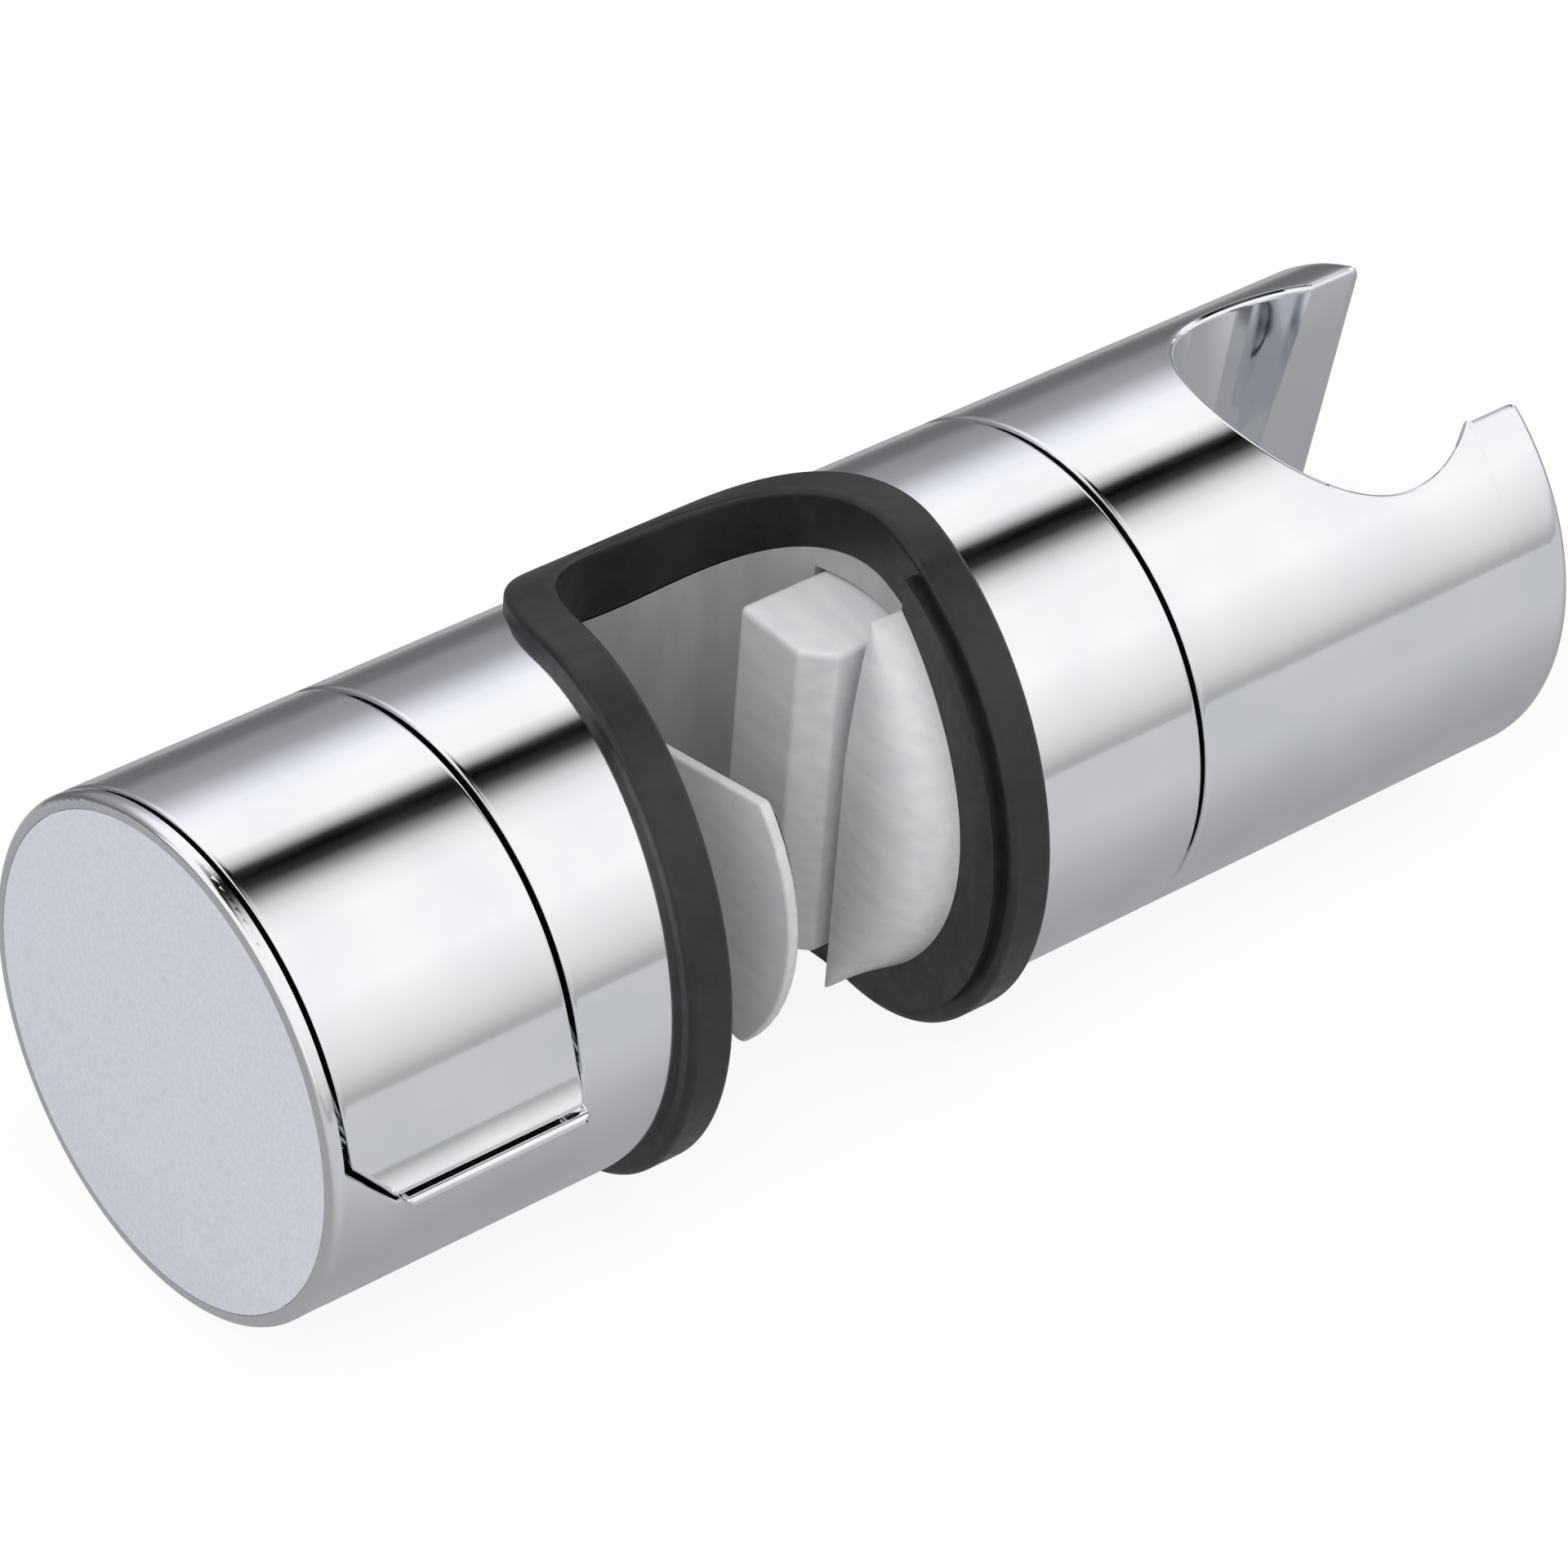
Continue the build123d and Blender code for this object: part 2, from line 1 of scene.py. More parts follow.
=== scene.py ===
# %% [markdown]
# # Dressing a shower rail slider
# The solids of the slider come from the imported model, with every dimension and every joint. This
# lesson gives them their finishes, replaces the pieces whose edges catch the light by smoother
# surfaces, and sets up the studio and the camera. We start by loading the frame.

# %% Load the frame
import json
import math

import bmesh
import bpy
import numpy as np
from mathutils import Matrix, Vector


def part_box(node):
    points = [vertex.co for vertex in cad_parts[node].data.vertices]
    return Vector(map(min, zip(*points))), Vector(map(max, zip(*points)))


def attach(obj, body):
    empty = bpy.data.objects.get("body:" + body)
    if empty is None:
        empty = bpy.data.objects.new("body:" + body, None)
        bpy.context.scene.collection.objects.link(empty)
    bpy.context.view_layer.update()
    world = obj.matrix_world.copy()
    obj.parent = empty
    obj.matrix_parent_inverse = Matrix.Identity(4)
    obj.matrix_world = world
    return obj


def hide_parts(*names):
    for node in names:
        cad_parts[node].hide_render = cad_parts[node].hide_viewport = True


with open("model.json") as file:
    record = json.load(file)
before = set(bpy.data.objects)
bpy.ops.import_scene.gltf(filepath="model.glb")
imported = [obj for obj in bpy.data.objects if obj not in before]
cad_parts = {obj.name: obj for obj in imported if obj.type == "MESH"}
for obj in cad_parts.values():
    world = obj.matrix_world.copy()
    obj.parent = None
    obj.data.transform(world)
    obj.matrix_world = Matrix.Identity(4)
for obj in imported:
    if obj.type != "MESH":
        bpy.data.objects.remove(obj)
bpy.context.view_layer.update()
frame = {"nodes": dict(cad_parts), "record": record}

nodes = frame["nodes"]
MM = 0.001

# %% [markdown]
# ## The camera
# The photograph looks down on the slider from the front left. Its seams are circles about one
# axis, so fitting them gave the place, the direction and the long lens that are set here. The
# three directions are the camera's own right, up and back in the part's frame.

# %% Camera
CAMERA_PLACE = Vector((-272.86, -301.43, 313.49)) * MM
CAMERA_RIGHT = Vector((0.76566, -0.63983, 0.06619))
CAMERA_UP = Vector((0.34996, 0.50069, 0.79173))
CAMERA_BACK = Vector((-0.53971, -0.58303, 0.60728))
LENS_MM, SENSOR_MM = 161.2, 36.0
NEAREST = 0.01


def placed(name, data):
    """A new object with its data, put into the scene."""
    made = bpy.data.objects.new(name, data)
    bpy.context.scene.collection.objects.link(made)
    return made


camera = placed("camera", bpy.data.cameras.new("camera"))
camera.data.lens = LENS_MM
camera.data.sensor_width = SENSOR_MM
camera.data.clip_start = NEAREST
axes = Matrix((CAMERA_RIGHT, CAMERA_UP, CAMERA_BACK)).transposed().to_4x4()
camera.matrix_world = Matrix.Translation(CAMERA_PLACE) @ axes
bpy.context.scene.camera = camera
print("camera at", [round(c, 4) for c in CAMERA_PLACE])

# %% [markdown]
# ## Helpers for materials
# A colour is written as sRGB hex, as it is picked from a sample card, and Blender wants it
# linear. One function turns it. A second one adds a node with its settings and its links, so
# that each material below reads as a short list. A noise seldom leaves the middle of its range,
# so a pattern runs over a span of that middle.

# %% Colour and node helpers
MOTTLE_SPAN = (0.35, 0.65)
WANDER_SPAN = (0.3, 0.7)


def linear(hex_colour):
    """An sRGB hex colour as linear red, green, blue and alpha, by the sRGB curve."""
    srgb = np.array([int(hex_colour[i:i + 2], 16) for i in (1, 3, 5)]) / 255
    low = srgb / 12.92
    high = ((srgb + 0.055) / 1.055) ** 2.4
    return (*np.where(srgb <= 0.04045, low, high), 1.0)


def add(tree, kind, settings=None, links=None):
    """Adds a shader node. Settings go to its properties or its sockets, links to its inputs."""
    made = tree.nodes.new("ShaderNode" + kind)
    for name, value in (settings or {}).items():
        if isinstance(name, str) and hasattr(made, name):
            setattr(made, name, value)
        else:
            made.inputs[name].default_value = value
    for name, source in (links or {}).items():
        tree.links.new(source, made.inputs[name])
    return made


def new_material(name):
    """An empty node material: its tree, the surface to fill and the coordinates it reads."""
    material = bpy.data.materials.new(name)
    material.use_nodes = True
    tree = material.node_tree
    tree.nodes.clear()
    surface = add(tree, "OutputMaterial").inputs["Surface"]
    place = add(tree, "TexCoord").outputs["Object"]
    return material, tree, surface, place


def stretched(tree, place, along):
    """Coordinates that are drawn out along an axis, for marks that run one way."""
    settings = {"Scale": tuple(along)}
    return add(tree, "Mapping", settings, {"Vector": place}).outputs["Vector"]


def patches(tree, place, size_mm, detail):
    """A noise from 0 to 1 whose patches are about this many millimetres across."""
    settings = {"Scale": 1 / (size_mm * MM), "Detail": detail}
    return add(tree, "TexNoise", settings, {"Vector": place}).outputs["Fac"]


def toned(tree, value, stops):
    """A colour ramp over a value, with its stops as (position, colour) in rising order."""
    ramp = add(tree, "ValToRGB", links={"Fac": value})
    elements = ramp.color_ramp.elements
    while len(elements) < len(stops):
        elements.new(0.5)
    for element, (position, _) in zip(list(elements), stops):
        element.position = position
    for element, (_, colour) in zip(list(elements), stops):
        element.color = colour
    return ramp.outputs["Color"]


def mottle(tree, place, size_mm, dark, light, detail=3.0):
    """A colour that wanders between two close tones in patches of a given size."""
    stops = list(zip(MOTTLE_SPAN, (linear(dark), linear(light))))
    return toned(tree, patches(tree, place, size_mm, detail), stops)


def wander(tree, place, size_mm, low, high, detail=3.0):
    """A number that wanders between two values in patches of a given size."""
    settings = dict(zip(("From Min", "From Max", "To Min", "To Max"), (*WANDER_SPAN, low, high)))
    links = {"Value": patches(tree, place, size_mm, detail)}
    return add(tree, "MapRange", settings, links).outputs["Result"]


def grain(tree, place, size_mm, depth_mm, detail=2.0):
    """The normals of a surface with a fine grain of a given size and depth."""
    settings = {"Strength": 1.0, "Distance": depth_mm * MM}
    links = {"Height": patches(tree, place, size_mm, detail)}
    return add(tree, "Bump", settings, links).outputs["Normal"]


def reckon(tree, operation, first, second):
    """One sum of a socket and a second socket or a number."""
    made = add(tree, "Math", {"operation": operation}, {0: first})
    if isinstance(second, float):
        made.inputs[1].default_value = second
    else:
        tree.links.new(second, made.inputs[1])
    return made.outputs[0]


def finish(name, fixed, colour, roughness, skin, along=None, drawn=()):
    """A material with one shader: its fixed sockets, and three that patterns drive.

    colour is (patch size, dark, light), roughness (patch size, low, high) and skin (grain size,
    grain depth), with all sizes in millimetres. The sockets in drawn have marks that run along.
    """
    material, tree, surface, place = new_material(name)
    marks = stretched(tree, place, along) if along else place
    rows = {"Base Color": (mottle, colour), "Roughness": (wander, roughness),
            "Normal": (grain, skin)}
    links = {socket: pattern(tree, marks if socket in drawn else place, *numbers)
             for socket, (pattern, numbers) in rows.items()}
    shader = add(tree, "BsdfPrincipled", fixed, links)
    tree.links.new(shader.outputs["BSDF"], surface)
    return material


# %% [markdown]
# ## Bright chrome
# The body, its cap, the lever and the cradle are moulded in ABS, then plated with copper, nickel
# and a thin skin of chromium. Plating on a moulding is a mirror with a faint long wave in it, and
# here and there a haze left by wiping. So the metal stays almost sharp: its roughness wanders a
# little, and a very shallow wave bends the reflections.

# %% Chrome material
METAL = {"Metallic": 1.0}

# Bright chromium plate on a moulding: metal, nearly white, nearly sharp.
finishes = {"chrome_plate": finish(
    "bright_chrome_plate", METAL, (9.0, "#eceef1", "#f3f4f6"), (1.6, 0.055, 0.095),
    (6.0, 0.0035, 1.0), along=(0.25, 1.0, 1.0), drawn=["Roughness"])}
print("material:", finishes["chrome_plate"].name)

# %% [markdown]
# ## The plastics and the rubber
# The disc in the cap is painted in a satin, bluish light grey. The block in the tube, the jaw,
# the pad and the cheek are acetal, a slippery plastic with a soft sheen that suits sliding
# parts. The edging of the mouth is a black elastomer with a fine spark-eroded grain, which the
# mould's wall left on it. The grips are black rubber, and the washer is natural acetal.

# %% Plastic and rubber materials
# Satin paint on ABS: a bluish light grey with a fine fleck.
finishes["satin_disc"] = finish(
    "satin_painted_abs", {"IOR": 1.49}, (0.35, "#cbced7", "#d3d6de"), (2.5, 0.38, 0.46),
    (0.3, 0.004))
# Moulded thermoplastic elastomer: black and satin, with the grain of the eroded mould.
finishes["black_edging"] = finish(
    "moulded_black_elastomer", {"IOR": 1.5}, (1.8, "#17171a", "#202024"), (1.2, 0.34, 0.46),
    (0.22, 0.008))
# Moulded grey acetal: satin, with faint flow marks that run up the part.
finishes["grey_moulding"] = finish(
    "moulded_grey_acetal", {"IOR": 1.48}, (1.6, "#a4a5a7", "#adaeb0"), (1.5, 0.33, 0.45),
    (0.4, 0.005), along=(1.0, 1.0, 0.18), drawn=["Base Color"])
# Moulded pale acetal: lighter, with a slippery sheen and the streaks of its flow.
finishes["pale_moulding"] = finish(
    "moulded_pale_acetal", {"IOR": 1.48}, (1.2, "#d0d1d4", "#d9dadc"), (1.5, 0.27, 0.38),
    (0.5, 0.004), along=(1.0, 0.3, 1.0), drawn=["Base Color"])
# Pressed black rubber: matt, with a chalky bloom.
finishes["black_rubber"] = finish(
    "pressed_black_rubber", {"IOR": 1.52}, (0.9, "#161616", "#232322"), (0.8, 0.62, 0.78),
    (0.25, 0.012))
# Turned natural acetal: milky white.
finishes["white_washer"] = finish(
    "turned_white_acetal", {"IOR": 1.48}, (1.0, "#e2e2de", "#eaeae7"), (1.0, 0.3, 0.4),
    (0.3, 0.003))
print("plastics and rubber:", len(finishes) - 1)

# %% [markdown]
# ## Zinc plated steel
# The pins, the springs and the screws are steel with a bright zinc plate, which is duller and
# greyer than chrome, with drawing marks along the wire and the rods.

# %% Steel material
# Zinc plated steel: a grey metal, brushed by drawing.
finishes["steel"] = finish(
    "zinc_plated_steel", METAL, (1.5, "#b4b7bb", "#c4c7ca"), (0.3, 0.24, 0.36), (0.2, 0.004),
    along=(0.15, 1.0, 1.0), drawn=["Roughness", "Normal"])
print("material:", finishes["steel"].name)

# %% [markdown]
# ## Giving every node its finish
# The record already names a material slot for each node. So every node gets the finish that was
# made for that slot.

# %% Finishes on the nodes
slot_of = {row["node"]: row["material_slot"] for row in frame["record"]["subparts"]}

for name, node in nodes.items():
    node.data.materials.clear()
    node.data.materials.append(finishes[slot_of[name]])
print("finishes:", sorted(finishes))

# %% [markdown]
# ## Helpers for surfaces
# A piece is made of sheets. A sheet is a grid of points that a formula gives in millimetres, and
# its quads follow from the grid. No moulded edge is truly sharp: it is rolled over by a few
# tenths of a millimetre, and that roll is what draws a bright line along a seam. So one helper
# gives the roll between two faces, another turns a grid into quads, and a third joins the
# sheets to one closed mesh.

# %% Surface helpers
WELD_MM = 0.002
SHARP_DEGREES = 28.0


def points_of(x, y, z):
    """Three arrays of coordinates as one array of points."""
    return np.stack(np.broadcast_arrays(x, y, z), -1).astype(float)


def unit(vectors):
    """Vectors brought to length one."""
    return vectors / np.linalg.norm(vectors, axis=-1, keepdims=True)


def rolled(corner, first, second, roll, steps=4):
    """The roll over an edge between two faces, given by their normals a and b.

    A ball of radius r touches both faces when its centre is corner - r (a + b) / (1 + a.b). The
    roll is the part of the ball's great circle from a to b.
    """
    cosine = (first * second).sum(-1, keepdims=True)
    centre = corner - roll * (first + second) / (1 + cosine)
    angle = np.arccos(np.clip(cosine, -1, 1))[..., None]
    share = np.linspace(0, 1, steps + 1)[:, None]
    turned = np.sin((1 - share) * angle) * first[..., None, :]
    turned = turned + np.sin(share * angle) * second[..., None, :]
    return centre[..., None, :] + roll * turned / np.sin(angle)


def sheet_faces(rows, columns, close_rows=False, close_columns=False):
    """The quads of a grid of points, row by row, closed on itself where asked."""
    i = np.arange(rows if close_rows else rows - 1)[:, None]
    j = np.arange(columns if close_columns else columns - 1)[None, :]
    below = ((i + 1) % rows) * columns
    beside = (j + 1) % columns
    quads = [i * columns + j, i * columns + beside, below + beside, below + j]
    return np.stack(np.broadcast_arrays(*quads), -1).reshape(-1, 4)


def closed_mesh(name, places, faces, weld_mm=0.0):
    """A mesh of points in metres, welded where asked, with all its faces turned outwards."""
    mesh = bpy.data.meshes.new(name)
    mesh.from_pydata(places.tolist(), [], faces)
    shape = bmesh.new()
    shape.from_mesh(mesh)
    if weld_mm:
        bmesh.ops.remove_doubles(shape, verts=shape.verts, dist=weld_mm * MM)
        bmesh.ops.dissolve_degenerate(shape, edges=shape.edges, dist=weld_mm * MM / 2)
    bmesh.ops.recalc_face_normals(shape, faces=shape.faces)
    open_edges = sum(edge.is_boundary for edge in shape.edges)
    shape.to_mesh(mesh)
    shape.free()
    return mesh, open_edges


def piece(name, sheets, body, slot, replaces, lids=(), turn=None, sharp_degrees=SHARP_DEGREES):
    """Joins sheets of points in millimetres to one mesh, in place, with its finish and its body.

    A sheet is a grid of points, or a grid with True or False for closed rows and columns. A lid
    is a ring of points that one flat face closes.
    """
    points, faces, first = [], [], 0
    for sheet in sheets:
        grid, *closed = sheet if isinstance(sheet, tuple) else (sheet,)
        faces += (first + sheet_faces(*grid.shape[:2], *closed)).tolist()
        points.append(grid.reshape(-1, 3))
        first += len(points[-1])
    for ring in lids:
        faces.append(list(range(first, first + len(ring))))
        points.append(ring)
        first += len(ring)
    places = np.concatenate(points) * MM
    if turn is not None:
        places = places @ np.array(turn).T
    mesh, open_edges = closed_mesh(name, places, faces, WELD_MM)
    mesh.polygons.foreach_set("use_smooth", np.ones(len(mesh.polygons), bool))
    mesh.set_sharp_from_angle(angle=math.radians(sharp_degrees))
    mesh.materials.append(finishes[slot])
    made = placed(name, mesh)
    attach(made, body)
    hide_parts(*replaces)
    print(name, len(mesh.polygons), "faces,", open_edges, "open edges")
    return made


# %% [markdown]
# Holes are cut last, with a boolean and round cutters, because a hole breaks the even grid that
# the reflections need. The hinge's ears and its barrel are plain rods, each a piece of its own.

# %% Rods and cuts


def rod(x_from, x_to, radius, y, z, roll, count=48):
    """A round rod along X with rolled ends: its sheet and its two lids."""
    around = np.linspace(0, 2 * math.pi, count, endpoint=False)
    turn = np.linspace(0, math.pi / 2, 4)
    inset, drop = roll * (1 - np.sin(turn)), roll * (1 - np.cos(turn))
    x = np.concatenate([x_from + inset[::-1], x_to - inset])
    radii = np.concatenate([radius - drop[::-1], radius - drop])
    sheet = points_of(x, y - radii * np.sin(around)[:, None], z + radii * np.cos(around)[:, None])
    return (sheet, True, False), [sheet[:, 0], sheet[:, -1]]


def stepped_bore(steps, axis_turn=None, place=(0, 0, 0), count=64):
    """A cutter: a rod along X with steps (x, radius), turned and placed where the hole is."""
    around = np.linspace(0, 2 * math.pi, count, endpoint=False)[:, None]
    x, radii = np.array(steps, float).T
    sheet = points_of(x, -radii * np.sin(around), radii * np.cos(around))
    if axis_turn is not None:
        sheet = sheet @ np.array(axis_turn).T
    return sheet + np.array(place, float)


def bore(x_from, x_to, radius, axis_turn=None, place=(0, 0, 0)):
    """A cutter with one radius."""
    return stepped_bore([(x_from, radius), (x_to, radius)], axis_turn, place)


def cut(made, cutters):
    """Takes the cutters, closed rods of rings of points, away from a piece's mesh."""
    points, faces, first = [], [], 0
    for sheet in cutters:
        rows, columns = sheet.shape[:2]
        faces += (first + sheet_faces(rows, columns, close_rows=True)).tolist()
        index = first + np.arange(rows * columns).reshape(rows, columns)
        faces += [index[::-1, 0].tolist(), index[:, -1].tolist()]
        points.append(sheet.reshape(-1, 3))
        first += rows * columns
    mesh, _ = closed_mesh("cutter", np.concatenate(points) * MM, faces)
    mesh.materials.append(made.data.materials[0])
    cutter = placed("cutter", mesh)
    boolean = made.modifiers.new("cut", "BOOLEAN")
    boolean.object = cutter
    boolean.solver = "EXACT"
    bpy.context.view_layer.update()
    graph = bpy.context.evaluated_depsgraph_get()
    result = bpy.data.meshes.new_from_object(made.evaluated_get(graph))
    made.modifiers.clear()
    result.set_sharp_from_angle(angle=math.radians(SHARP_DEGREES))
    old, made.data = made.data, result
    result.name = made.name
    bpy.data.objects.remove(cutter)
    bpy.data.meshes.remove(old)
    print(made.name, "cut:", len(result.polygons), "faces")


# %% [markdown]
# ## The cradle
# The cradle is the plated end that turns. A tapered cup takes the handset's cone, and a slot
# lets the hose in. Its rim runs round the cup and the slot, over the two round ends and back
# below: one closed line where the outer skin meets the inner wall. So we work that line out
# first, with the normals of both faces along it. The roll, the wall and the skin all hang on it.
# A boolean on a plain cylinder would give the same solid, but not the soft rim that catches light.

# %% Cradle sizes and rim
BODY_R = 20.0
CRADLE_LOW_X = 30.0
CRADLE_HIGH_X = 68.1
CUP_X = 55.5
CUP_TOP_R = 11.4
CUP_TAPER = 0.045
SLOT_HALF = 8.8
END_ROUND = 1.2
RIM_ROLL = 0.45
SEAM_ROLL = 0.3
CRADLE_TURN = math.radians(8.0)
END_STEPS, STRAIGHT_STEPS, CUP_STEPS = 6, 8, 121
SLOT_EDGE_Z = math.sqrt(BODY_R ** 2 - SLOT_HALF ** 2)


def end_section(share):
    """The rounded end: its place along X, its radius, and how far its normal turns to +X."""
    turn = share * math.pi / 2
    x = CRADLE_HIGH_X - END_ROUND + END_ROUND * np.sin(turn)
    return x, BODY_R - END_ROUND + END_ROUND * np.cos(turn), turn


def cup_radius(height):
    """The cup is a cone about its own axis, wider at the top."""
    return CUP_TOP_R + CUP_TAPER * (height - BODY_R)


def slot_rim(side, hand):
    """The rim along the slot: over the rounded end, then straight to the cup.

    On the slot's wall y is fixed, so z is the root of the skin's radius squared less y squared.
    """
    x_end, radius, turn = end_section(np.linspace(1, 0, END_STEPS))
    height = np.sqrt(radius ** 2 - SLOT_HALF ** 2)
    skin = points_of(np.sin(turn), hand * np.cos(turn) * SLOT_HALF / radius,
                     side * np.cos(turn) * height / radius)
    rim = points_of(x_end, hand * SLOT_HALF, side * height)
    flat_z = side * SLOT_EDGE_Z
    corner_x = CUP_X + math.sqrt(cup_radius(flat_z) ** 2 - SLOT_HALF ** 2)
    x = np.linspace(CRADLE_HIGH_X - END_ROUND, corner_x, STRAIGHT_STEPS)[1:]
    straight = points_of(x, hand * SLOT_HALF, flat_z)
    up = points_of(0 * x, hand * SLOT_HALF / BODY_R, flat_z / BODY_R)
    rim = np.concatenate([rim, straight])
    return rim, np.concatenate([skin, up]), points_of(0 * rim[:, 0], -hand, 0)


def cup_rim(side):
    """The rim round the cup, where a point at angle a has y = -r sin a, z = root(R2 - y2).

    The cone's radius r depends on z, so the two are worked out in turn until they agree.
    """
    opening = math.asin(SLOT_HALF / cup_radius(side * SLOT_EDGE_Z))
    angle = np.linspace(opening, 2 * math.pi - opening, CUP_STEPS)
    radius = np.full(CUP_STEPS, CUP_TOP_R)
    for _ in range(20):
        height = side * np.sqrt(BODY_R ** 2 - (radius * np.sin(angle)) ** 2)
        radius = cup_radius(height)
    rim = points_of(CUP_X + radius * np.cos(angle), -radius * np.sin(angle), height)
    skin = points_of(0 * angle, rim[:, 1] / BODY_R, rim[:, 2] / BODY_R)
    return rim, skin, unit(points_of(-np.cos(angle), np.sin(angle), CUP_TAPER))


def cradle_rim(side):
    """The whole upper or lower rim, from the front end round the cup to the back end."""
    front = slot_rim(side, -1)
    back = [part[::-1] for part in slot_rim(side, 1)]
    return [np.concatenate(parts) for parts in zip(front, cup_rim(side), back)]


# %% [markdown]
# The skin between the rim and the cradle's outer bounds is a horseshoe: each line of its grid
# leaves the rim and ends on the bound. On the unrolled cylinder, with the place along X and the
# angle from the pole, these lines are straight. The points are then laid on the cylinder again.
# The first and the last step are narrow, so that the roll's shading doesn't spread over the skin.

# %% Cradle skin and piece
SKIN_STEPS = 36
BY_THE_RIM, NEXT_TO_IT, BY_THE_BOUND = 0.006, 0.03, 0.994
SIDE_SHARE = 0.36
wide_steps = np.linspace(NEXT_TO_IT, BY_THE_BOUND, SKIN_STEPS - 3)
spread = np.concatenate([[0, BY_THE_RIM], wide_steps, [1]])


def on_cylinder(x, angle, side=1, radius=BODY_R):
    """A point at an angle from the top or bottom line: (x, -R sin a, side R cos a)."""
    return points_of(x, -radius * np.sin(angle), side * radius * np.cos(angle))


def cradle_skin(side, edge):
    """The skin from the rolled rim to the bound, straight on the unrolled cylinder."""
    inner_x = edge[:, 0]
    inner_angle = np.arcsin(-edge[:, 1] / BODY_R)
    count = len(edge)
    turn_at = int(SIDE_SHARE * count)
    low_x = CRADLE_LOW_X + SEAM_ROLL
    along = np.linspace(CRADLE_HIGH_X - END_ROUND, low_x, turn_at)
    round_low = np.linspace(math.pi / 2, -math.pi / 2, count - 2 * turn_at + 2)[1:-1]
    outer_x = np.concatenate([along, np.full(len(round_low), low_x), along[::-1]])
    outer_angle = np.concatenate([np.full(turn_at, math.pi / 2), round_low,
                                  np.full(turn_at, -math.pi / 2)])
    x = inner_x[:, None] + (outer_x - inner_x)[:, None] * spread
    angle = inner_angle[:, None] + (outer_angle - inner_angle)[:, None] * spread
    return on_cylinder(x, angle, side), round_low


def cradle_end(rim_top, rim_low, hand):
    """A rounded end: each row keeps its radius and runs from the upper to the lower rim."""
    share = np.linspace(1, 0, END_STEPS)
    x, radius, _ = end_section(share)
    rows = []
    for edge, side in ((rim_top, 1), (rim_low, -1)):
        start = np.arcsin(np.abs(edge[:, 1]) / radius)
        angle = start[:, None] + (math.pi / 2 - start)[:, None] * spread
        row = on_cylinder(x[:, None], -hand * angle, side, radius[:, None])
        rows.append(row if side == 1 else row[:, ::-1])
    return np.concatenate([rows[0], rows[1][:, 1:]], 1)


def laid_on_skin(roll, side):
    """A rim's roll whose outer edge is brought exactly onto the skin that it meets."""
    x_end, end_radius, _ = end_section(np.linspace(1, 0, END_STEPS))
    radius = np.full(len(roll), BODY_R)
    radius[:END_STEPS], radius[-END_STEPS:] = end_radius, end_radius[::-1]
    roll[:END_STEPS, 0, 0], roll[-END_STEPS:, 0, 0] = x_end, x_end[::-1]
    roll[:, 0, 2] = side * np.sqrt(radius ** 2 - roll[:, 0, 1] ** 2)
    return roll


def cradle_piece():
    """The rolled rim, the wall, the two skins, the two ends and the seam side, joined."""
    roll_top = laid_on_skin(rolled(*cradle_rim(1), RIM_ROLL), 1)
    roll_low = laid_on_skin(rolled(*cradle_rim(-1), RIM_ROLL), -1)
    sheets = [(np.concatenate([roll_top, roll_low[::-1]]), True, False)]
    sheets.append(np.stack([roll_top[:, -1], roll_low[:, -1]], 1))
    flat = slice(END_STEPS - 1, 1 - END_STEPS)
    skin_top, round_low = cradle_skin(1, roll_top[flat, 0])
    skin_low, _ = cradle_skin(-1, roll_low[flat, 0])
    sheets += [skin_top, skin_low]
    lids = []
    for hand, rows in ((-1, slice(0, END_STEPS)), (1, slice(-1, -END_STEPS - 1, -1))):
        end = cradle_end(roll_top[rows, 0], roll_low[rows, 0], hand)
        sheets.append(end)
        lids.append(end[0])
    pole = np.concatenate([[math.pi / 2], round_low, [-math.pi / 2]])
    rings = []
    for side in (1, -1):
        corner = on_cylinder(CRADLE_LOW_X, pole, side)
        skin = on_cylinder(0, pole, side, 1.0)
        rings.append(rolled(corner, skin, points_of(-1 + 0 * pole, 0, 0), SEAM_ROLL))
    sheets += rings
    lids.append(np.concatenate([rings[0][:, -1], rings[1][-2:0:-1, -1]]))
    turn = Matrix.Rotation(CRADLE_TURN, 3, "X")
    return piece("plated_cradle", sheets, "cradle", "chrome_plate", ["cradle"], lids, turn)


cradle = cradle_piece()
JOURNAL_R, PIVOT_HOLE_R, WASHER_HOLE_R = 7.05, 2.8, 5.3
PIVOT_BORE = [(29.0, JOURNAL_R), (37.9, JOURNAL_R), (37.9, PIVOT_HOLE_R), (39.0, PIVOT_HOLE_R),
              (39.0, WASHER_HOLE_R), (48.0, WASHER_HOLE_R)]
cut(cradle, [stepped_bore(PIVOT_BORE)])

# %% [markdown]
# ## The body shell
# The body is a plated tube. A U is cut into it for the rail, and under the lever only the lower
# half of the tube is left, as a trough. The skin of a tube is exact with two points along X and
# many round it, so each sheet runs along X from the cut to a seam, over the seam's roll, and
# back inside. The trough is one section carried along X, whose front edge climbs at the outer
# corner, where the lever's own edge is cut away.

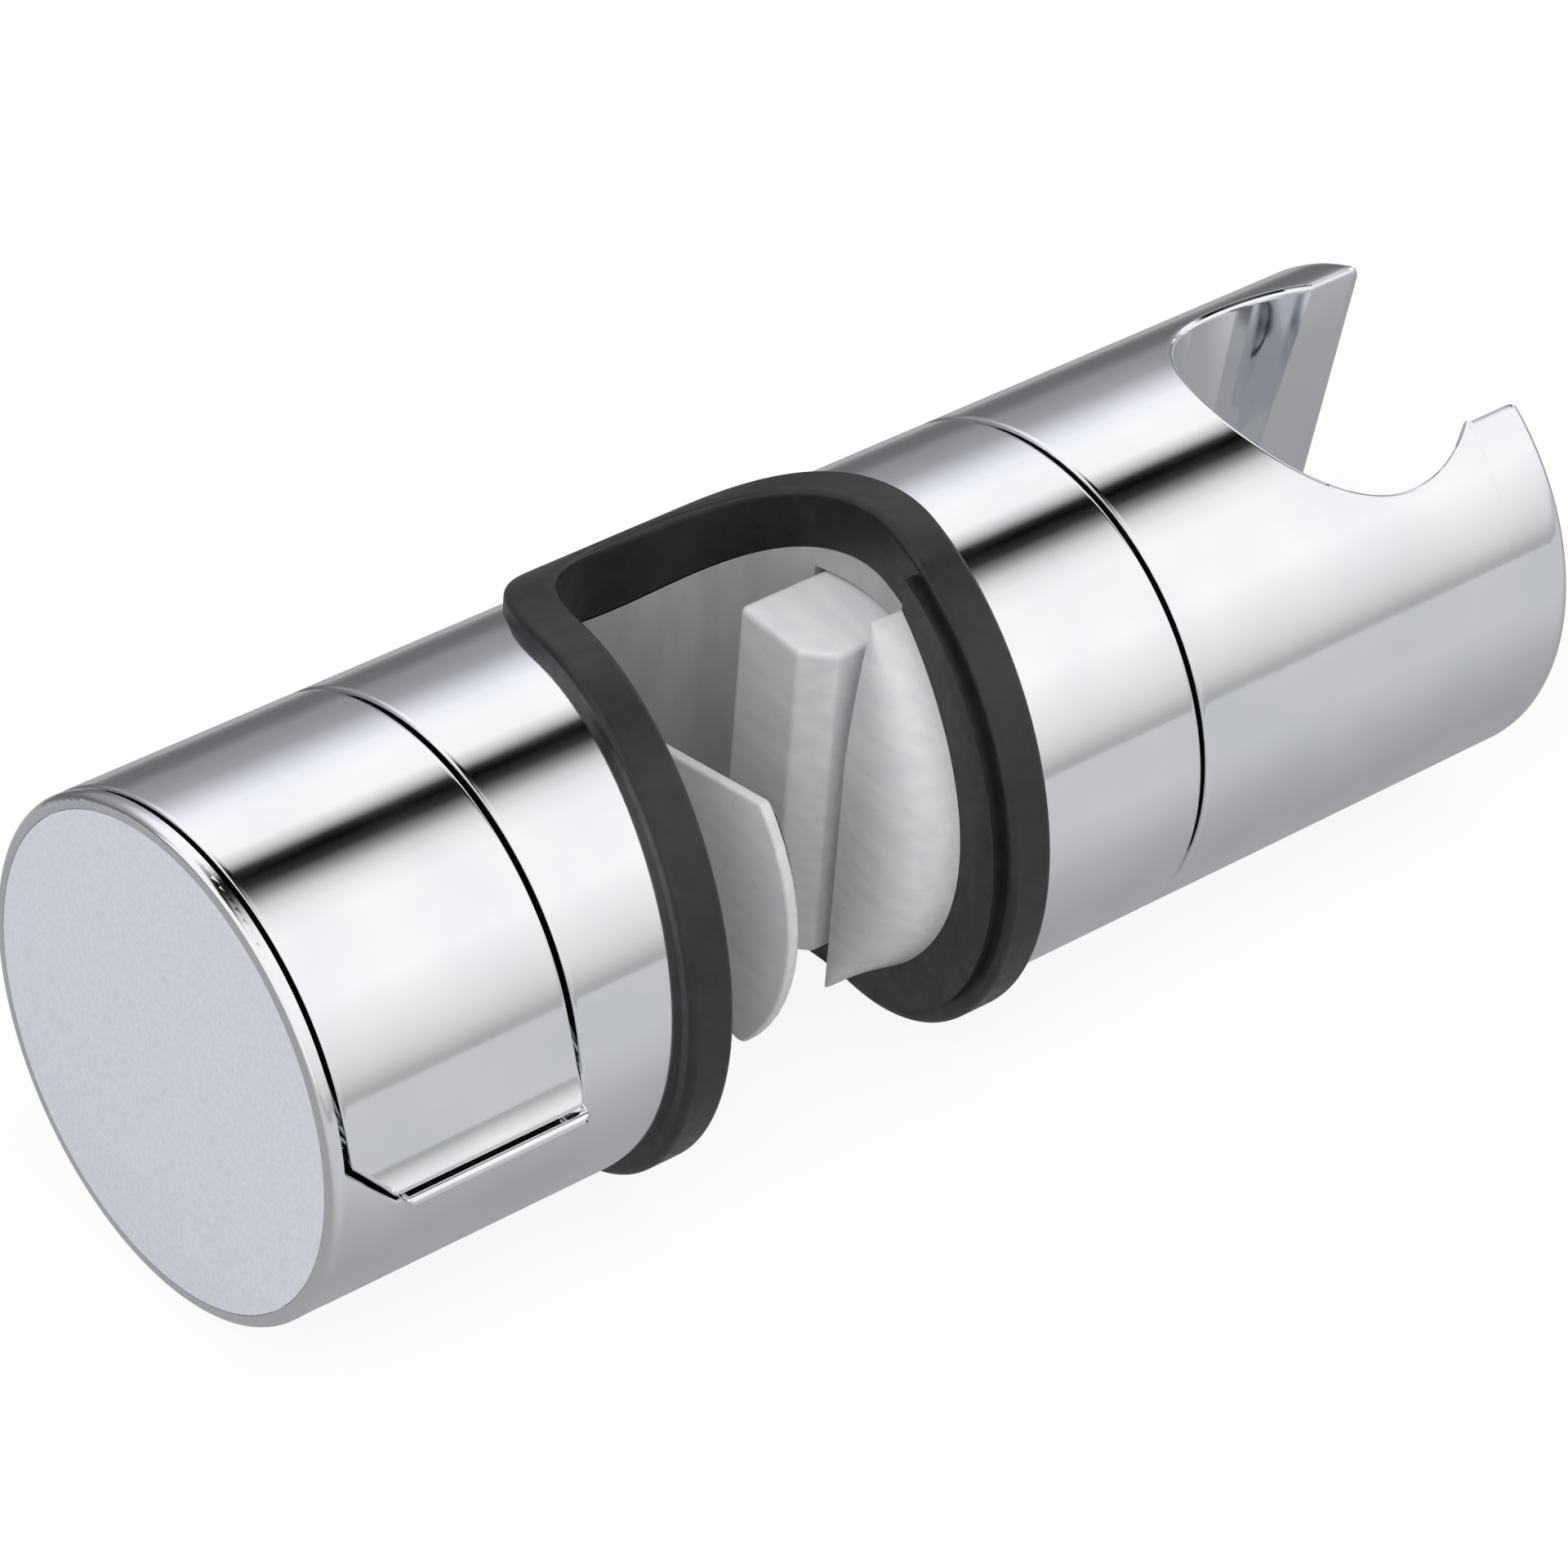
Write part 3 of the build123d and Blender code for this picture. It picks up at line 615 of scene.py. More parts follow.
# %% Body shell
WALL_R = 16.6
BAND_LOW_X = -28.9
BODY_HIGH_X = 29.5
CAP_SEAM_X = -49.3
CUT_HALF = 14.1
MOUTH_TURN = math.radians(9.0)
TROUGH_FRONT_Z = -1.2
TROUGH_BACK_Z = -2.4
CORNER_SUM = -46.007
CORNER_X = CORNER_SUM - TROUGH_FRONT_Z
CLIMBING_X, NEAR_SEAM, NEAR_CORNER = -46.3, 0.1, 0.05
EDGE_ROLL = 0.25
SEAM_SUPPORT = 0.12
OVER_STEPS, UNDER_STEPS = 191, 171
ROUND_BACK_DEGREES = np.arange(0, 81, 8)
LEAST_SINE, CLOSED_WITHIN = 0.01, 1e-3


def mouth_edge(y, hand):
    """The U of the mouth at a given y: x = (h + y sin t) / cos t on a leg, else on the circle."""
    leg = (hand * CUT_HALF + y * math.sin(MOUTH_TURN)) / math.cos(MOUTH_TURN)
    on_leg = leg * math.sin(MOUTH_TURN) + y * math.cos(MOUTH_TURN) < 0
    return np.where(on_leg, leg, hand * np.sqrt(np.maximum(CUT_HALF ** 2 - y ** 2, 0)))


def band_sheet(angle, hand, end_x, rolled_end):
    """A tube's wall at each angle: outside from the cut, over the end, and back inside.

    Each row has one more point a little before the end, so that the roll's shading stays there.
    """
    cut_at = [mouth_edge(-radius * np.sin(angle), hand) for radius in (BODY_R, WALL_R)]
    outer = [on_cylinder(x, angle)
             for x in (cut_at[0], end_x - hand * (SEAM_ROLL + SEAM_SUPPORT))]
    corner = on_cylinder(end_x, angle)
    inner = [on_cylinder(x, angle, radius=WALL_R) for x in (end_x, cut_at[1])]
    if not rolled_end:
        return [np.stack([*outer, corner], 1), np.stack(inner, 1)]
    skin = on_cylinder(0, angle, radius=1.0)
    roll = rolled(corner, skin, points_of(hand + 0 * angle, 0, 0), SEAM_ROLL)
    return [np.concatenate([np.stack(outer, 1), roll, np.stack(inner, 1)], 1)]


def cut_wall(angle, hand):
    """The wall of the cut, from the outer to the inner edge, where the cut is open.

    Behind the round back the skin is closed, and the wall ends in an upright line at y = h. So
    the outer radius there is h / |sin a|.
    """
    behind = np.maximum(-np.sin(angle), LEAST_SINE)
    outer_r = np.minimum(BODY_R, CUT_HALF / behind)
    outer_cut = mouth_edge(-outer_r * np.sin(angle), hand)
    inner_cut = mouth_edge(-WALL_R * np.sin(angle), hand)
    open_rows = np.flatnonzero(np.abs(inner_cut) > CLOSED_WITHIN)
    rows = slice(max(open_rows[0] - 1, 0), open_rows[-1] + 2)
    wall = [on_cylinder(outer_cut, angle, radius=outer_r),
            on_cylinder(inner_cut, angle, radius=WALL_R)]
    return np.stack(wall, 1)[rows]


def trough_edge(x):
    """The height of the trough's front edge: level, then climbing to the outer corner."""
    return np.maximum(TROUGH_FRONT_Z, CORNER_SUM - x)


def body_shell_piece():
    """The two bands on each side of the mouth, and the trough under the lever.

    Rows stand close together where they meet the mouth's round back, inside and outside.
    """
    front = math.pi / 2 + math.asin((EDGE_ROLL - TROUGH_FRONT_Z) / BODY_R)
    back = 1.5 * math.pi - math.asin((EDGE_ROLL - TROUGH_BACK_Z) / BODY_R)
    y = CUT_HALF * np.cos(np.radians(ROUND_BACK_DEGREES))
    close = np.concatenate([np.arcsin(y / BODY_R), np.arcsin(y / WALL_R)])
    over = np.union1d(np.linspace(back - 2 * math.pi, front, OVER_STEPS), -close)
    under = np.union1d(np.linspace(front, back, UNDER_STEPS), math.pi + close)
    around = np.concatenate([over, under[1:]])
    sheets = band_sheet(around, 1, BODY_HIGH_X, True)
    sheets += band_sheet(over, -1, BAND_LOW_X, True)
    sheets += band_sheet(under, -1, BAND_LOW_X, False)
    sheets += [cut_wall(around, 1), cut_wall(around, -1)]
    x = np.array([CAP_SEAM_X, CAP_SEAM_X + NEAR_SEAM, CLIMBING_X, CORNER_X - NEAR_CORNER,
                  CORNER_X + NEAR_CORNER, BAND_LOW_X - NEAR_SEAM, BAND_LOW_X])
    edge_z = trough_edge(x)
    start = math.pi / 2 + np.arcsin((EDGE_ROLL - edge_z) / BODY_R)
    share = (under - front) / (back - front)
    angle = start[:, None] + (back - start)[:, None] * share
    outer = on_cylinder(x[:, None], angle)
    inner = on_cylinder(x[:, None], angle, radius=WALL_R)
    sheets += [outer, inner, np.stack([outer[0], inner[0]], 1)]
    band = sheets[1]
    lids = [np.concatenate([band[row, 1:-1], on_cylinder(BAND_LOW_X, end)[None]])
            for row, end in ((-1, front), (0, back))]
    for row, hand, z in ((0, -1, edge_z), (-1, 1, np.full(len(x), TROUGH_BACK_Z))):
        corner = points_of(x, hand * np.sqrt(BODY_R ** 2 - z ** 2), z)
        skin = corner * (0, 1, 1) / BODY_R
        roll = rolled(corner, skin, points_of(0 * x, 0, 1), EDGE_ROLL)
        roll[:, 0] = outer[:, row]
        sheets.append(np.concatenate([roll, inner[:, row][:, None]], 1))
        lids += [np.concatenate([roll[k], inner[k, row][None]]) for k in (0, -1)]
    return piece("plated_body_shell", sheets, "body", "chrome_plate", ["body_shell"], lids)


body_shell = body_shell_piece()

# %% [markdown]
# The hinge of the lever lies in the body's back edge: two ears with the lever's barrel between
# them. The barrel needs a round room in the trough, and three screws need their counterbores.

# %% Hinge and counterbores
HINGE_Y, HINGE_Z = 17.3, -2.4
KNUCKLE_R, KNUCKLE_ROOM_R, KNUCKLE_ROLL = 2.6, 2.9, 0.25
OUTER_EAR, BARREL, INNER_EAR = (-48.8, -44.6), (-44.3, -33.9), (-33.6, -29.4)
SCREW_ROOM_R, SCREW_ROOM_END = 2.9, 22.0
CORE_SCREW_X, CORE_SCREW_Z, CORE_SCREW_SEAT = 16.2, 5.0, 16.2
CAP_SCREW_X, CAP_SCREW_SEAT = -45.8, 17.6
TO_BACK = [(0, 0, 1), (1, 0, 0), (0, 1, 0)]
TO_FLOOR = [(0, 1, 0), (0, 0, -1), (-1, 0, 0)]


def knuckle(name, along, body, node):
    """One rod of the hinge, with soft ends."""
    sheet, ends = rod(*along, KNUCKLE_R, HINGE_Y, HINGE_Z, KNUCKLE_ROLL)
    piece(name, [sheet], body, "chrome_plate", [node], ends)


def knuckle_room(x_from, x_to):
    """A cutter for the room round a rod of the hinge."""
    return bore(x_from, x_to, KNUCKLE_ROOM_R, place=(0, HINGE_Y, HINGE_Z))


knuckle("outer_ear", OUTER_EAR, "body", "body_shell")
knuckle("inner_ear", INNER_EAR, "body", "body_shell")
rooms = [knuckle_room(OUTER_EAR[1], INNER_EAR[0])]
rooms += [bore(CORE_SCREW_SEAT, SCREW_ROOM_END, SCREW_ROOM_R, TO_BACK, (x, 0, CORE_SCREW_Z))
          for x in (-CORE_SCREW_X, CORE_SCREW_X)]
rooms += [bore(CAP_SCREW_SEAT, SCREW_ROOM_END, SCREW_ROOM_R, TO_FLOOR, (CAP_SCREW_X, 0, 0))]
cut(body_shell, rooms)

# %% [markdown]
# ## The lever
# The lever is a plated arc, hinged behind and pressed down over the trough. Its lower front edge
# is drawn out to a lip for the finger: the skin leaves the tube in a hollow curve, and a bead
# closes it. The section is one path from the hinge over the top to the bead and back under the
# lip, carried along X. Its outer lower corner is cut at a slant, so each point of the section
# has its own start in X.

# %% Lever
LEVER_R = 17.6
LEVER_LOW_X, LEVER_HIGH_X = -48.8, -29.4
LIP_HIGH_Z, LIP_LOW_Z = 3.5, -0.7
LIP_Y = -21.88
FLARE_HIGH_Z = 7.5
FLARE_Y, FLARE_Z, FLARE_ROLL = -21.35, 0.62, 0.35
FLARE_ARC, BEAD_ARC = (138, 262, 9), (75, 270, 14)
GROOVE_Y, GROOVE_STEP = -20.6, 0.05
BEAD_R = 0.5
LIP_CORNER = 1.5
HOLLOW_PULLS = (3.2, 1.5)
ARC_STEPS, HOLLOW_STEPS, UNDER_LIP_STEPS = 150, 18, 4
LEVER_ROLL = 0.25
EDGE_SUPPORT = 0.2


def bezier(start, first, second, end, steps):
    """A cubic curve: (1-t)^3 A + 3 (1-t)^2 t B + 3 (1-t) t^2 C + t^3 D."""
    t = np.linspace(0, 1, steps)[:, None]
    return ((1 - t) ** 3 * start + 3 * (1 - t) ** 2 * t * first
            + 3 * (1 - t) * t ** 2 * second + t ** 3 * end)


def turned_arc(centre, radius, from_degrees, to_degrees, steps):
    """Points of a small arc in Y and Z with their normals."""
    angle = np.radians(np.linspace(from_degrees, to_degrees, steps))
    normal = np.stack([np.cos(angle), np.sin(angle)], 1)
    return centre + radius * normal, normal


def lever_section():
    """The outer path of the lever's section in Y and Z, and its normals, from the hinge on.

    The skin's arc runs into a hollow flare, which is rolled over at its lower edge into a small
    groove. A bead below the groove ends the lip, and its flat underside leads back inside.
    """
    back = -math.pi / 2 - math.asin(-HINGE_Z / BODY_R)
    front = math.acos(FLARE_HIGH_Z / BODY_R)
    angle = np.linspace(back, front, ARC_STEPS)
    arc_normal = np.stack([-np.sin(angle), np.cos(angle)], 1)
    arc = BODY_R * arc_normal
    down = np.array([-math.cos(front), -math.sin(front)])
    roll_centre = np.array([FLARE_Y + FLARE_ROLL, FLARE_Z + FLARE_ROLL])
    roll, roll_normal = turned_arc(roll_centre, FLARE_ROLL, *FLARE_ARC)
    out = np.array([-roll_normal[0, 1], roll_normal[0, 0]])
    hollow = bezier(arc[-1], arc[-1] + HOLLOW_PULLS[0] * down,
                    roll[0] - HOLLOW_PULLS[1] * out, roll[0], HOLLOW_STEPS)
    along = unit(np.gradient(hollow, axis=0))
    hollow_normal = np.stack([along[:, 1], -along[:, 0]], 1)
    bead_centre = np.array([LIP_Y + BEAD_R, LIP_LOW_Z + BEAD_R])
    bead, bead_normal = turned_arc(bead_centre, BEAD_R, *BEAD_ARC)
    groove = np.array([(GROOVE_Y, roll[-1, 1] - GROOVE_STEP), (GROOVE_Y, bead[0, 1] + GROOVE_STEP)])
    groove_normal = np.array([(-0.6, -0.8), (-0.6, 0.8)])
    inside_y = -math.sqrt(LEVER_R ** 2 - LIP_LOW_Z ** 2)
    under_y = np.linspace(bead_centre[0], inside_y, UNDER_LIP_STEPS + 1)[1:]
    under = np.stack([under_y, np.full(UNDER_LIP_STEPS, LIP_LOW_Z)], 1)
    under_normal = np.tile([0.0, -1.0], (UNDER_LIP_STEPS, 1))
    path = np.concatenate([arc, hollow[1:-1], roll, groove, bead, under])
    normal = np.concatenate([arc_normal, hollow_normal[1:-1], roll_normal, groove_normal,
                             bead_normal, under_normal])
    return path, unit(normal)


def lever_start(y, z):
    """Where the lever starts in X: level, and along the slanted corner in front."""
    return LEVER_LOW_X + np.where(y < 0, np.clip(LIP_HIGH_Z - z, 0, LIP_HIGH_Z - LIP_LOW_Z), 0)


def lever_end(y, z):
    """Where the lever ends in X: level, round the flare's lower corner and round the lip."""
    above_bead = z > LIP_LOW_Z + 2 * BEAD_R
    below = np.clip(FLARE_Z + LIP_CORNER - z, 0, LIP_CORNER)
    below = np.where(above_bead & (z < FLARE_Z), LIP_CORNER, below)
    beyond = np.clip(LIP_Y + BEAD_R - y, 0, BEAD_R)
    round_flare = LIP_CORNER - np.sqrt(LIP_CORNER ** 2 - below ** 2)
    round_bead = np.where(y < 0, BEAD_R - np.sqrt(BEAD_R ** 2 - beyond ** 2), 0)
    return LEVER_HIGH_X - np.where((y < 0) & above_bead, round_flare, round_bead)


def lever_piece():
    """The outer skin with rolled ends, the inner skin, the two end faces and the hinge side."""
    path, normal = lever_section()
    y, z = path.T
    skin = points_of(0, normal[:, 0], normal[:, 1])
    slanted = (y < 0) & (z < LIP_HIGH_Z)
    low_face = unit(points_of(-1.0, 0, np.where(slanted, -1.0, 0)))
    start, end = lever_start(y, z), lever_end(y, z)
    high_face = points_of(1.0 + 0 * y, 0, 0)
    low = rolled(points_of(start, y, z), skin, low_face, LEVER_ROLL)[:, ::-1]
    high = rolled(points_of(end, y, z), skin, high_face, LEVER_ROLL)
    support = [points_of(x, y, z) for x in (start + LEVER_ROLL + EDGE_SUPPORT,
                                            end - LEVER_ROLL - EDGE_SUPPORT)]
    outer = np.concatenate([low, np.stack(support, 1), high], 1)
    back = -math.pi / 2 - math.asin(-HINGE_Z / LEVER_R)
    front = math.pi / 2 + math.asin(-LIP_LOW_Z / LEVER_R)
    angle = np.linspace(back, front, len(path))
    inner_y, inner_z = -LEVER_R * np.sin(angle), LEVER_R * np.cos(angle)
    inner_start = lever_start(inner_y, inner_z)
    columns = np.linspace(0, 1, outer.shape[1])
    inner_x = inner_start[:, None] + (LEVER_HIGH_X - inner_start[:, None]) * columns
    inner = points_of(inner_x, inner_y[:, None], inner_z[:, None])
    inner[-1] = outer[-1]
    ends = [np.stack([outer[:, column], inner[:, column]], 1) for column in (0, -1)]
    sheets = [outer, inner, *ends, np.stack([outer[0], inner[0]], 0)]
    return piece("plated_lever", sheets, "lever", "chrome_plate", ["lever"])


lever = lever_piece()
BEYOND_EARS = (-51.0, -27.0)
cut(lever, [knuckle_room(BEYOND_EARS[0], BARREL[0]), knuckle_room(BARREL[1], BEYOND_EARS[1])])
knuckle("lever_barrel", BARREL, "lever", "lever")

# %% [markdown]
# The wedge under the lever drives the jaw. It is a rib whose one flank slopes along X, and it is
# seen only when the lever stands open.

# %% Wedge
WEDGE_Y = np.array([-10.0, -6.0])
WEDGE_TOP_R = 18.2
WEDGE_TOP_Z = np.sqrt(WEDGE_TOP_R ** 2 - WEDGE_Y ** 2)
WEDGE_LOW_Z = 4.0
FLANK_X, FLANK_SLOPE = -31.5, 0.672
REAR_X, REAR_SLOPE = -42.64, 0.1206


def wedge_piece():
    """Four corners in X and Z, at the two sides of the rib: x is linear in z on each flank."""
    z = np.stack([WEDGE_TOP_Z, np.full(2, WEDGE_LOW_Z)])
    flank_x = FLANK_X - FLANK_SLOPE * (LEVER_R - z)
    rear_x = REAR_X + REAR_SLOPE * (z - WEDGE_LOW_Z)
    x, z = np.concatenate([flank_x, rear_x[::-1]]), np.concatenate([z, z[::-1]])
    sheet = points_of(x, WEDGE_Y, z)
    piece("lever_wedge", [(sheet, True, False)], "lever", "chrome_plate", ["lever"],
          [sheet[:, 0], sheet[:, 1]])


wedge_piece()

# %% [markdown]
# ## The cheek
# The cheek is the post beside the rail. It leads the rail in, so it is round and smooth, and it
# curls back at its top and its foot where it meets the wall. Each level of it is one cubic curve
# from its back edge to the wall, and the curve flattens towards both ends.

# %% Cheek
CHEEK_Y = -5.4
CHEEK_HALF_HEIGHT = 16.6
CHEEK_LEVELS, CHEEK_STEPS = 61, 25
CHEEK_REACH, REACH_GAIN, REACH_HEIGHT = 15.6, 2.0, 17.0
CHEEK_EDGE_X, EDGE_LEAN, LEAN_FROM_Z, LEAN_HEIGHT = 7.0, 1.3, 4.0, 12.0
LEAVE_PULL, LEAVE_X, LEAVE_Y = 0.42, -0.24, -1.0
ARRIVE_PULL, ARRIVE_X, ARRIVE_Y = 0.45, -0.95, 0.30
CHEEK_SHARP_DEGREES = 45.0
TONGUE_HALF = 11.98


def wall_x(y):
    """The edging's tongue on the right wall: x = (h + y sin t) / cos t."""
    return (TONGUE_HALF + y * math.sin(MOUTH_TURN)) / math.cos(MOUTH_TURN)


def cheek_piece():
    """Levels z = h sin u. Reach on the wall: y = -sqrt(r(z)^2 - z^2), r grows with (z / 17)^4."""
    level = np.linspace(-math.pi / 2, math.pi / 2, CHEEK_LEVELS)
    z = CHEEK_HALF_HEIGHT * np.sin(level)
    reach = CHEEK_REACH + REACH_GAIN * (np.abs(z) / REACH_HEIGHT) ** 4
    end_y = np.minimum(-np.sqrt(np.maximum(reach ** 2 - z ** 2, 0)), CHEEK_Y)
    end_y[[0, -1]] = CHEEK_Y
    bulge = np.sqrt(np.maximum(1 - np.sin(level) ** 16, 0))
    lean = EDGE_LEAN * np.clip((z - LEAN_FROM_Z) / LEAN_HEIGHT, 0, 1) ** 1.5
    edge = np.stack([CHEEK_EDGE_X + lean, np.full_like(z, CHEEK_Y)], 1)
    end = np.stack([wall_x(end_y), end_y], 1)
    span = np.linalg.norm(end - edge, axis=1)
    leave = LEAVE_PULL * (span * bulge)[:, None] * (LEAVE_X, LEAVE_Y)
    arrive = np.stack([np.full_like(z, ARRIVE_X), ARRIVE_Y * bulge], 1)
    arrive = ARRIVE_PULL * span[:, None] * arrive
    curve = bezier(edge[:, None], (edge + leave)[:, None], (end + arrive)[:, None],
                   end[:, None], CHEEK_STEPS)
    face = points_of(curve[..., 0], curve[..., 1], z[:, None])
    share = (face[0, :, 0] - face[0, 0, 0]) / (face[0, -1, 0] - face[0, 0, 0])
    back_x = edge[:, :1] + (wall_x(CHEEK_Y) - edge[:, :1]) * share
    back = points_of(back_x, CHEEK_Y, z[:, None])
    side = np.stack([face[:, -1], back[:, -1]], 1)
    piece("cheek", [face, back, side], "body", "pale_moulding", ["fixed_cheek"],
          sharp_degrees=CHEEK_SHARP_DEGREES)


cheek_piece()

# %% [markdown]
# ## The pad and the jaw
# Both are mouldings with flat faces and soft edges. So one helper draws a plate: an outline with
# rounded corners, carried along an axis, and rolled over all round at both faces.

# %% Rounded plates


def rounded_outline(corners, radii, steps=5):
    """An outline with rounded corners, and its outward normals. Corners run round once."""
    corners = np.array(corners, float)
    after = np.roll(corners, -1, 0)
    swing = np.sign((corners * after[:, ::-1] * (1, -1)).sum())
    towards, onwards = unit(np.roll(corners, 1, 0) - corners), unit(after - corners)
    points, normals = [], []
    for corner, a, b, radius in zip(corners, towards, onwards, radii):
        normal_in = swing * np.array([-a[1], a[0]])
        normal_out = swing * np.array([b[1], -b[0]])
        cosine = np.clip(normal_in @ normal_out, -1, 1)
        centre = corner - radius * (normal_in + normal_out) / (1 + cosine)
        turns = np.linspace(0, 1, steps)[:, None] if radius else np.full((1, 1), 0.5)
        normal = unit((1 - turns) * normal_in + turns * normal_out)
        points.append(centre + radius * normal)
        normals.append(normal)
    return np.concatenate(points), np.concatenate(normals)


def rounded_plate(corners, radii, low, high, roll, axis):
    """An outline carried along an axis, rolled at both faces: one closed sheet and two lids."""
    path, normal = rounded_outline(corners, radii)
    turn = np.linspace(0, math.pi / 2, 5)
    inset, drop = roll * (1 - np.cos(turn)), roll * (1 - np.sin(turn))
    support = [low + roll + EDGE_SUPPORT, high - roll - EDGE_SUPPORT]
    place = np.concatenate([low + drop[::-1], support, high - drop])
    inward = np.concatenate([inset[::-1], [0, 0], inset])
    flat = path[:, None] - normal[:, None] * inward[None, :, None]
    along = np.broadcast_to(place, flat.shape[:2])[..., None]
    order = [along, flat] if axis == "X" else [flat, along]
    sheet = np.concatenate(order, -1)
    return (sheet, True, False), [sheet[:, 0], sheet[:, -1]]


# %% [markdown]
# The pad is the block that a spring presses on the rail. Its nose stands in the mouth, with a
# bevel at the front corner that leads the rail in. Its flange lies in the core and is taller than
# the nose, so that the spring can't push the pad out. The spring's bore is cut into both.

# %% Pad
PAD_LOW_Y, PAD_HIGH_Y = -4.3, 4.5
PAD_FACE_X, PAD_BACK_X = 4.4, 14.9
PAD_HALF_HEIGHT = 13.87
PAD_BEVEL, PAD_ROLL = 2.1, 0.55
NOSE_RADII = [0.6, 0.7, 0.7, 0.1, 0.1]
FLANGE_HIGH_X = 16.9
FLANGE_HALF_HEIGHT, FLANGE_ROLL = 15.17, 0.2
SPRING_BORE = (9.0, 18.0, 4.2)

nose_corners = [(PAD_FACE_X, PAD_HIGH_Y), (PAD_FACE_X, PAD_LOW_Y + PAD_BEVEL),
                (PAD_FACE_X + PAD_BEVEL, PAD_LOW_Y), (PAD_BACK_X, PAD_LOW_Y),
                (PAD_BACK_X, PAD_HIGH_Y)]
nose, nose_ends = rounded_plate(nose_corners, NOSE_RADII, -PAD_HALF_HEIGHT, PAD_HALF_HEIGHT,
                                PAD_ROLL, "Z")
pad_nose = piece("pad_nose", [nose], "pad", "pale_moulding", ["pressure_pad"], nose_ends)
flange_corners = [(PAD_BACK_X, PAD_HIGH_Y), (PAD_BACK_X, PAD_LOW_Y), (FLANGE_HIGH_X, PAD_LOW_Y),
                  (FLANGE_HIGH_X, PAD_HIGH_Y)]
flange, flange_ends = rounded_plate(flange_corners, [FLANGE_ROLL] * 4, -FLANGE_HALF_HEIGHT,
                                    FLANGE_HALF_HEIGHT, FLANGE_ROLL, "Z")
pad_flange = piece("pad_flange", [flange], "pad", "pale_moulding", ["pressure_pad"], flange_ends)
cut(pad_nose, [bore(*SPRING_BORE)])
cut(pad_flange, [bore(*SPRING_BORE)])

# %% [markdown]
# The jaw is a thin plate on a stem. The plate's front edge is a bow about the body's axis, so
# that it stays inside the tube's outline, and the plate is taller in front than behind. The stem
# leads back through the core to the carriage that the lever's wedge drives.

# %% Jaw
JAW_BACK_X, JAW_FACE_X = -7.0, -6.0
JAW_EDGE_R, JAW_BOW_STEPS = 16.2, 15
JAW_FRONT_HALF, JAW_BACK_HALF = 11.0, 8.3
JAW_HIGH_Y = 3.5
JAW_ROLL, JAW_BACK_R, JAW_TOP_R, JAW_FOOT_R = 0.28, 0.3, 0.6, 1.2
STEM_LOW_X, STEM_HALF_Z = -24.4, 6.0
STEM_ROLL, STEM_CORNER_R = 0.1, 0.4

front_angle = math.asin(JAW_FRONT_HALF / JAW_EDGE_R)
bow = np.linspace(front_angle, -front_angle, JAW_BOW_STEPS)[1:-1]
bow_points = [(-JAW_EDGE_R * math.cos(a), JAW_EDGE_R * math.sin(a)) for a in bow]
corner_y = -JAW_EDGE_R * math.cos(front_angle)
jaw_corners = ([(JAW_HIGH_Y, JAW_BACK_HALF), (corner_y, JAW_FRONT_HALF)] + bow_points
               + [(corner_y, -JAW_FRONT_HALF), (JAW_HIGH_Y, -JAW_BACK_HALF)])
jaw_radii = [JAW_BACK_R, JAW_TOP_R] + [0.0] * len(bow_points) + [JAW_FOOT_R, JAW_BACK_R]
plate, plate_ends = rounded_plate(jaw_corners, jaw_radii, JAW_BACK_X, JAW_FACE_X, JAW_ROLL, "X")
stem_corners = [(JAW_HIGH_Y, STEM_HALF_Z), (-JAW_HIGH_Y, STEM_HALF_Z),
                (-JAW_HIGH_Y, -STEM_HALF_Z), (JAW_HIGH_Y, -STEM_HALF_Z)]
stem, stem_ends = rounded_plate(stem_corners, [STEM_CORNER_R] * 4, STEM_LOW_X, JAW_BACK_X,
                                STEM_ROLL, "X")
piece("jaw_plate", [plate, stem], "jaw", "pale_moulding", ["clamp_jaw"], plate_ends + stem_ends)

# %% [markdown]
# ## The floor
# The slider stands on a plain pale sheet, as in a catalogue picture. The sheet is white to the
# camera and to mirrors, and it keeps a part of the object's shadow, because a share of it is a
# real diffuse surface.

# %% Floor
floor_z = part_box("rail_edging")[0].z
FLOOR_HALF = 30.0
GLOW_SHARE, MIRRORED_SHARE = 0.9, 0.15


def stage_sheet(name, points, faces, material, mirrors_only=False):
    """A sheet of the stage, with its points in metres. The chrome may be all that sees it."""
    mesh = bpy.data.meshes.new(name)
    mesh.from_pydata(points.tolist(), [], faces)
    mesh.materials.append(material)
    made = placed(name, mesh)
    if mirrors_only:
        made.visible_camera = False
        made.visible_diffuse = False
        made.visible_shadow = False


def white_paper():
    """Paper that is lit, mixed with a glow that the camera sees more of than mirrors do."""
    material, tree, surface, place = new_material("white_paper_floor")
    links = {
        "Color": mottle(tree, place, 40.0, "#f3f3f3", "#f6f6f6"),
        "Roughness": wander(tree, place, 10.0, 0.6, 0.8),
    }
    paper = add(tree, "BsdfDiffuse", links=links)
    glow = add(tree, "Emission", {"Color": linear("#ffffff"), "Strength": 1.0})
    ray = add(tree, "LightPath").outputs
    mirrored = reckon(tree, "MAXIMUM", ray["Is Glossy Ray"], ray["Is Transmission Ray"])
    weak = reckon(tree, "MULTIPLY", mirrored, MIRRORED_SHARE)
    strong = reckon(tree, "MULTIPLY", ray["Is Camera Ray"], GLOW_SHARE)
    share = reckon(tree, "MAXIMUM", weak, strong)
    links = {0: share, 1: paper.outputs[0], 2: glow.outputs[0]}
    mix = add(tree, "MixShader", links=links)
    tree.links.new(mix.outputs[0], surface)
    return material


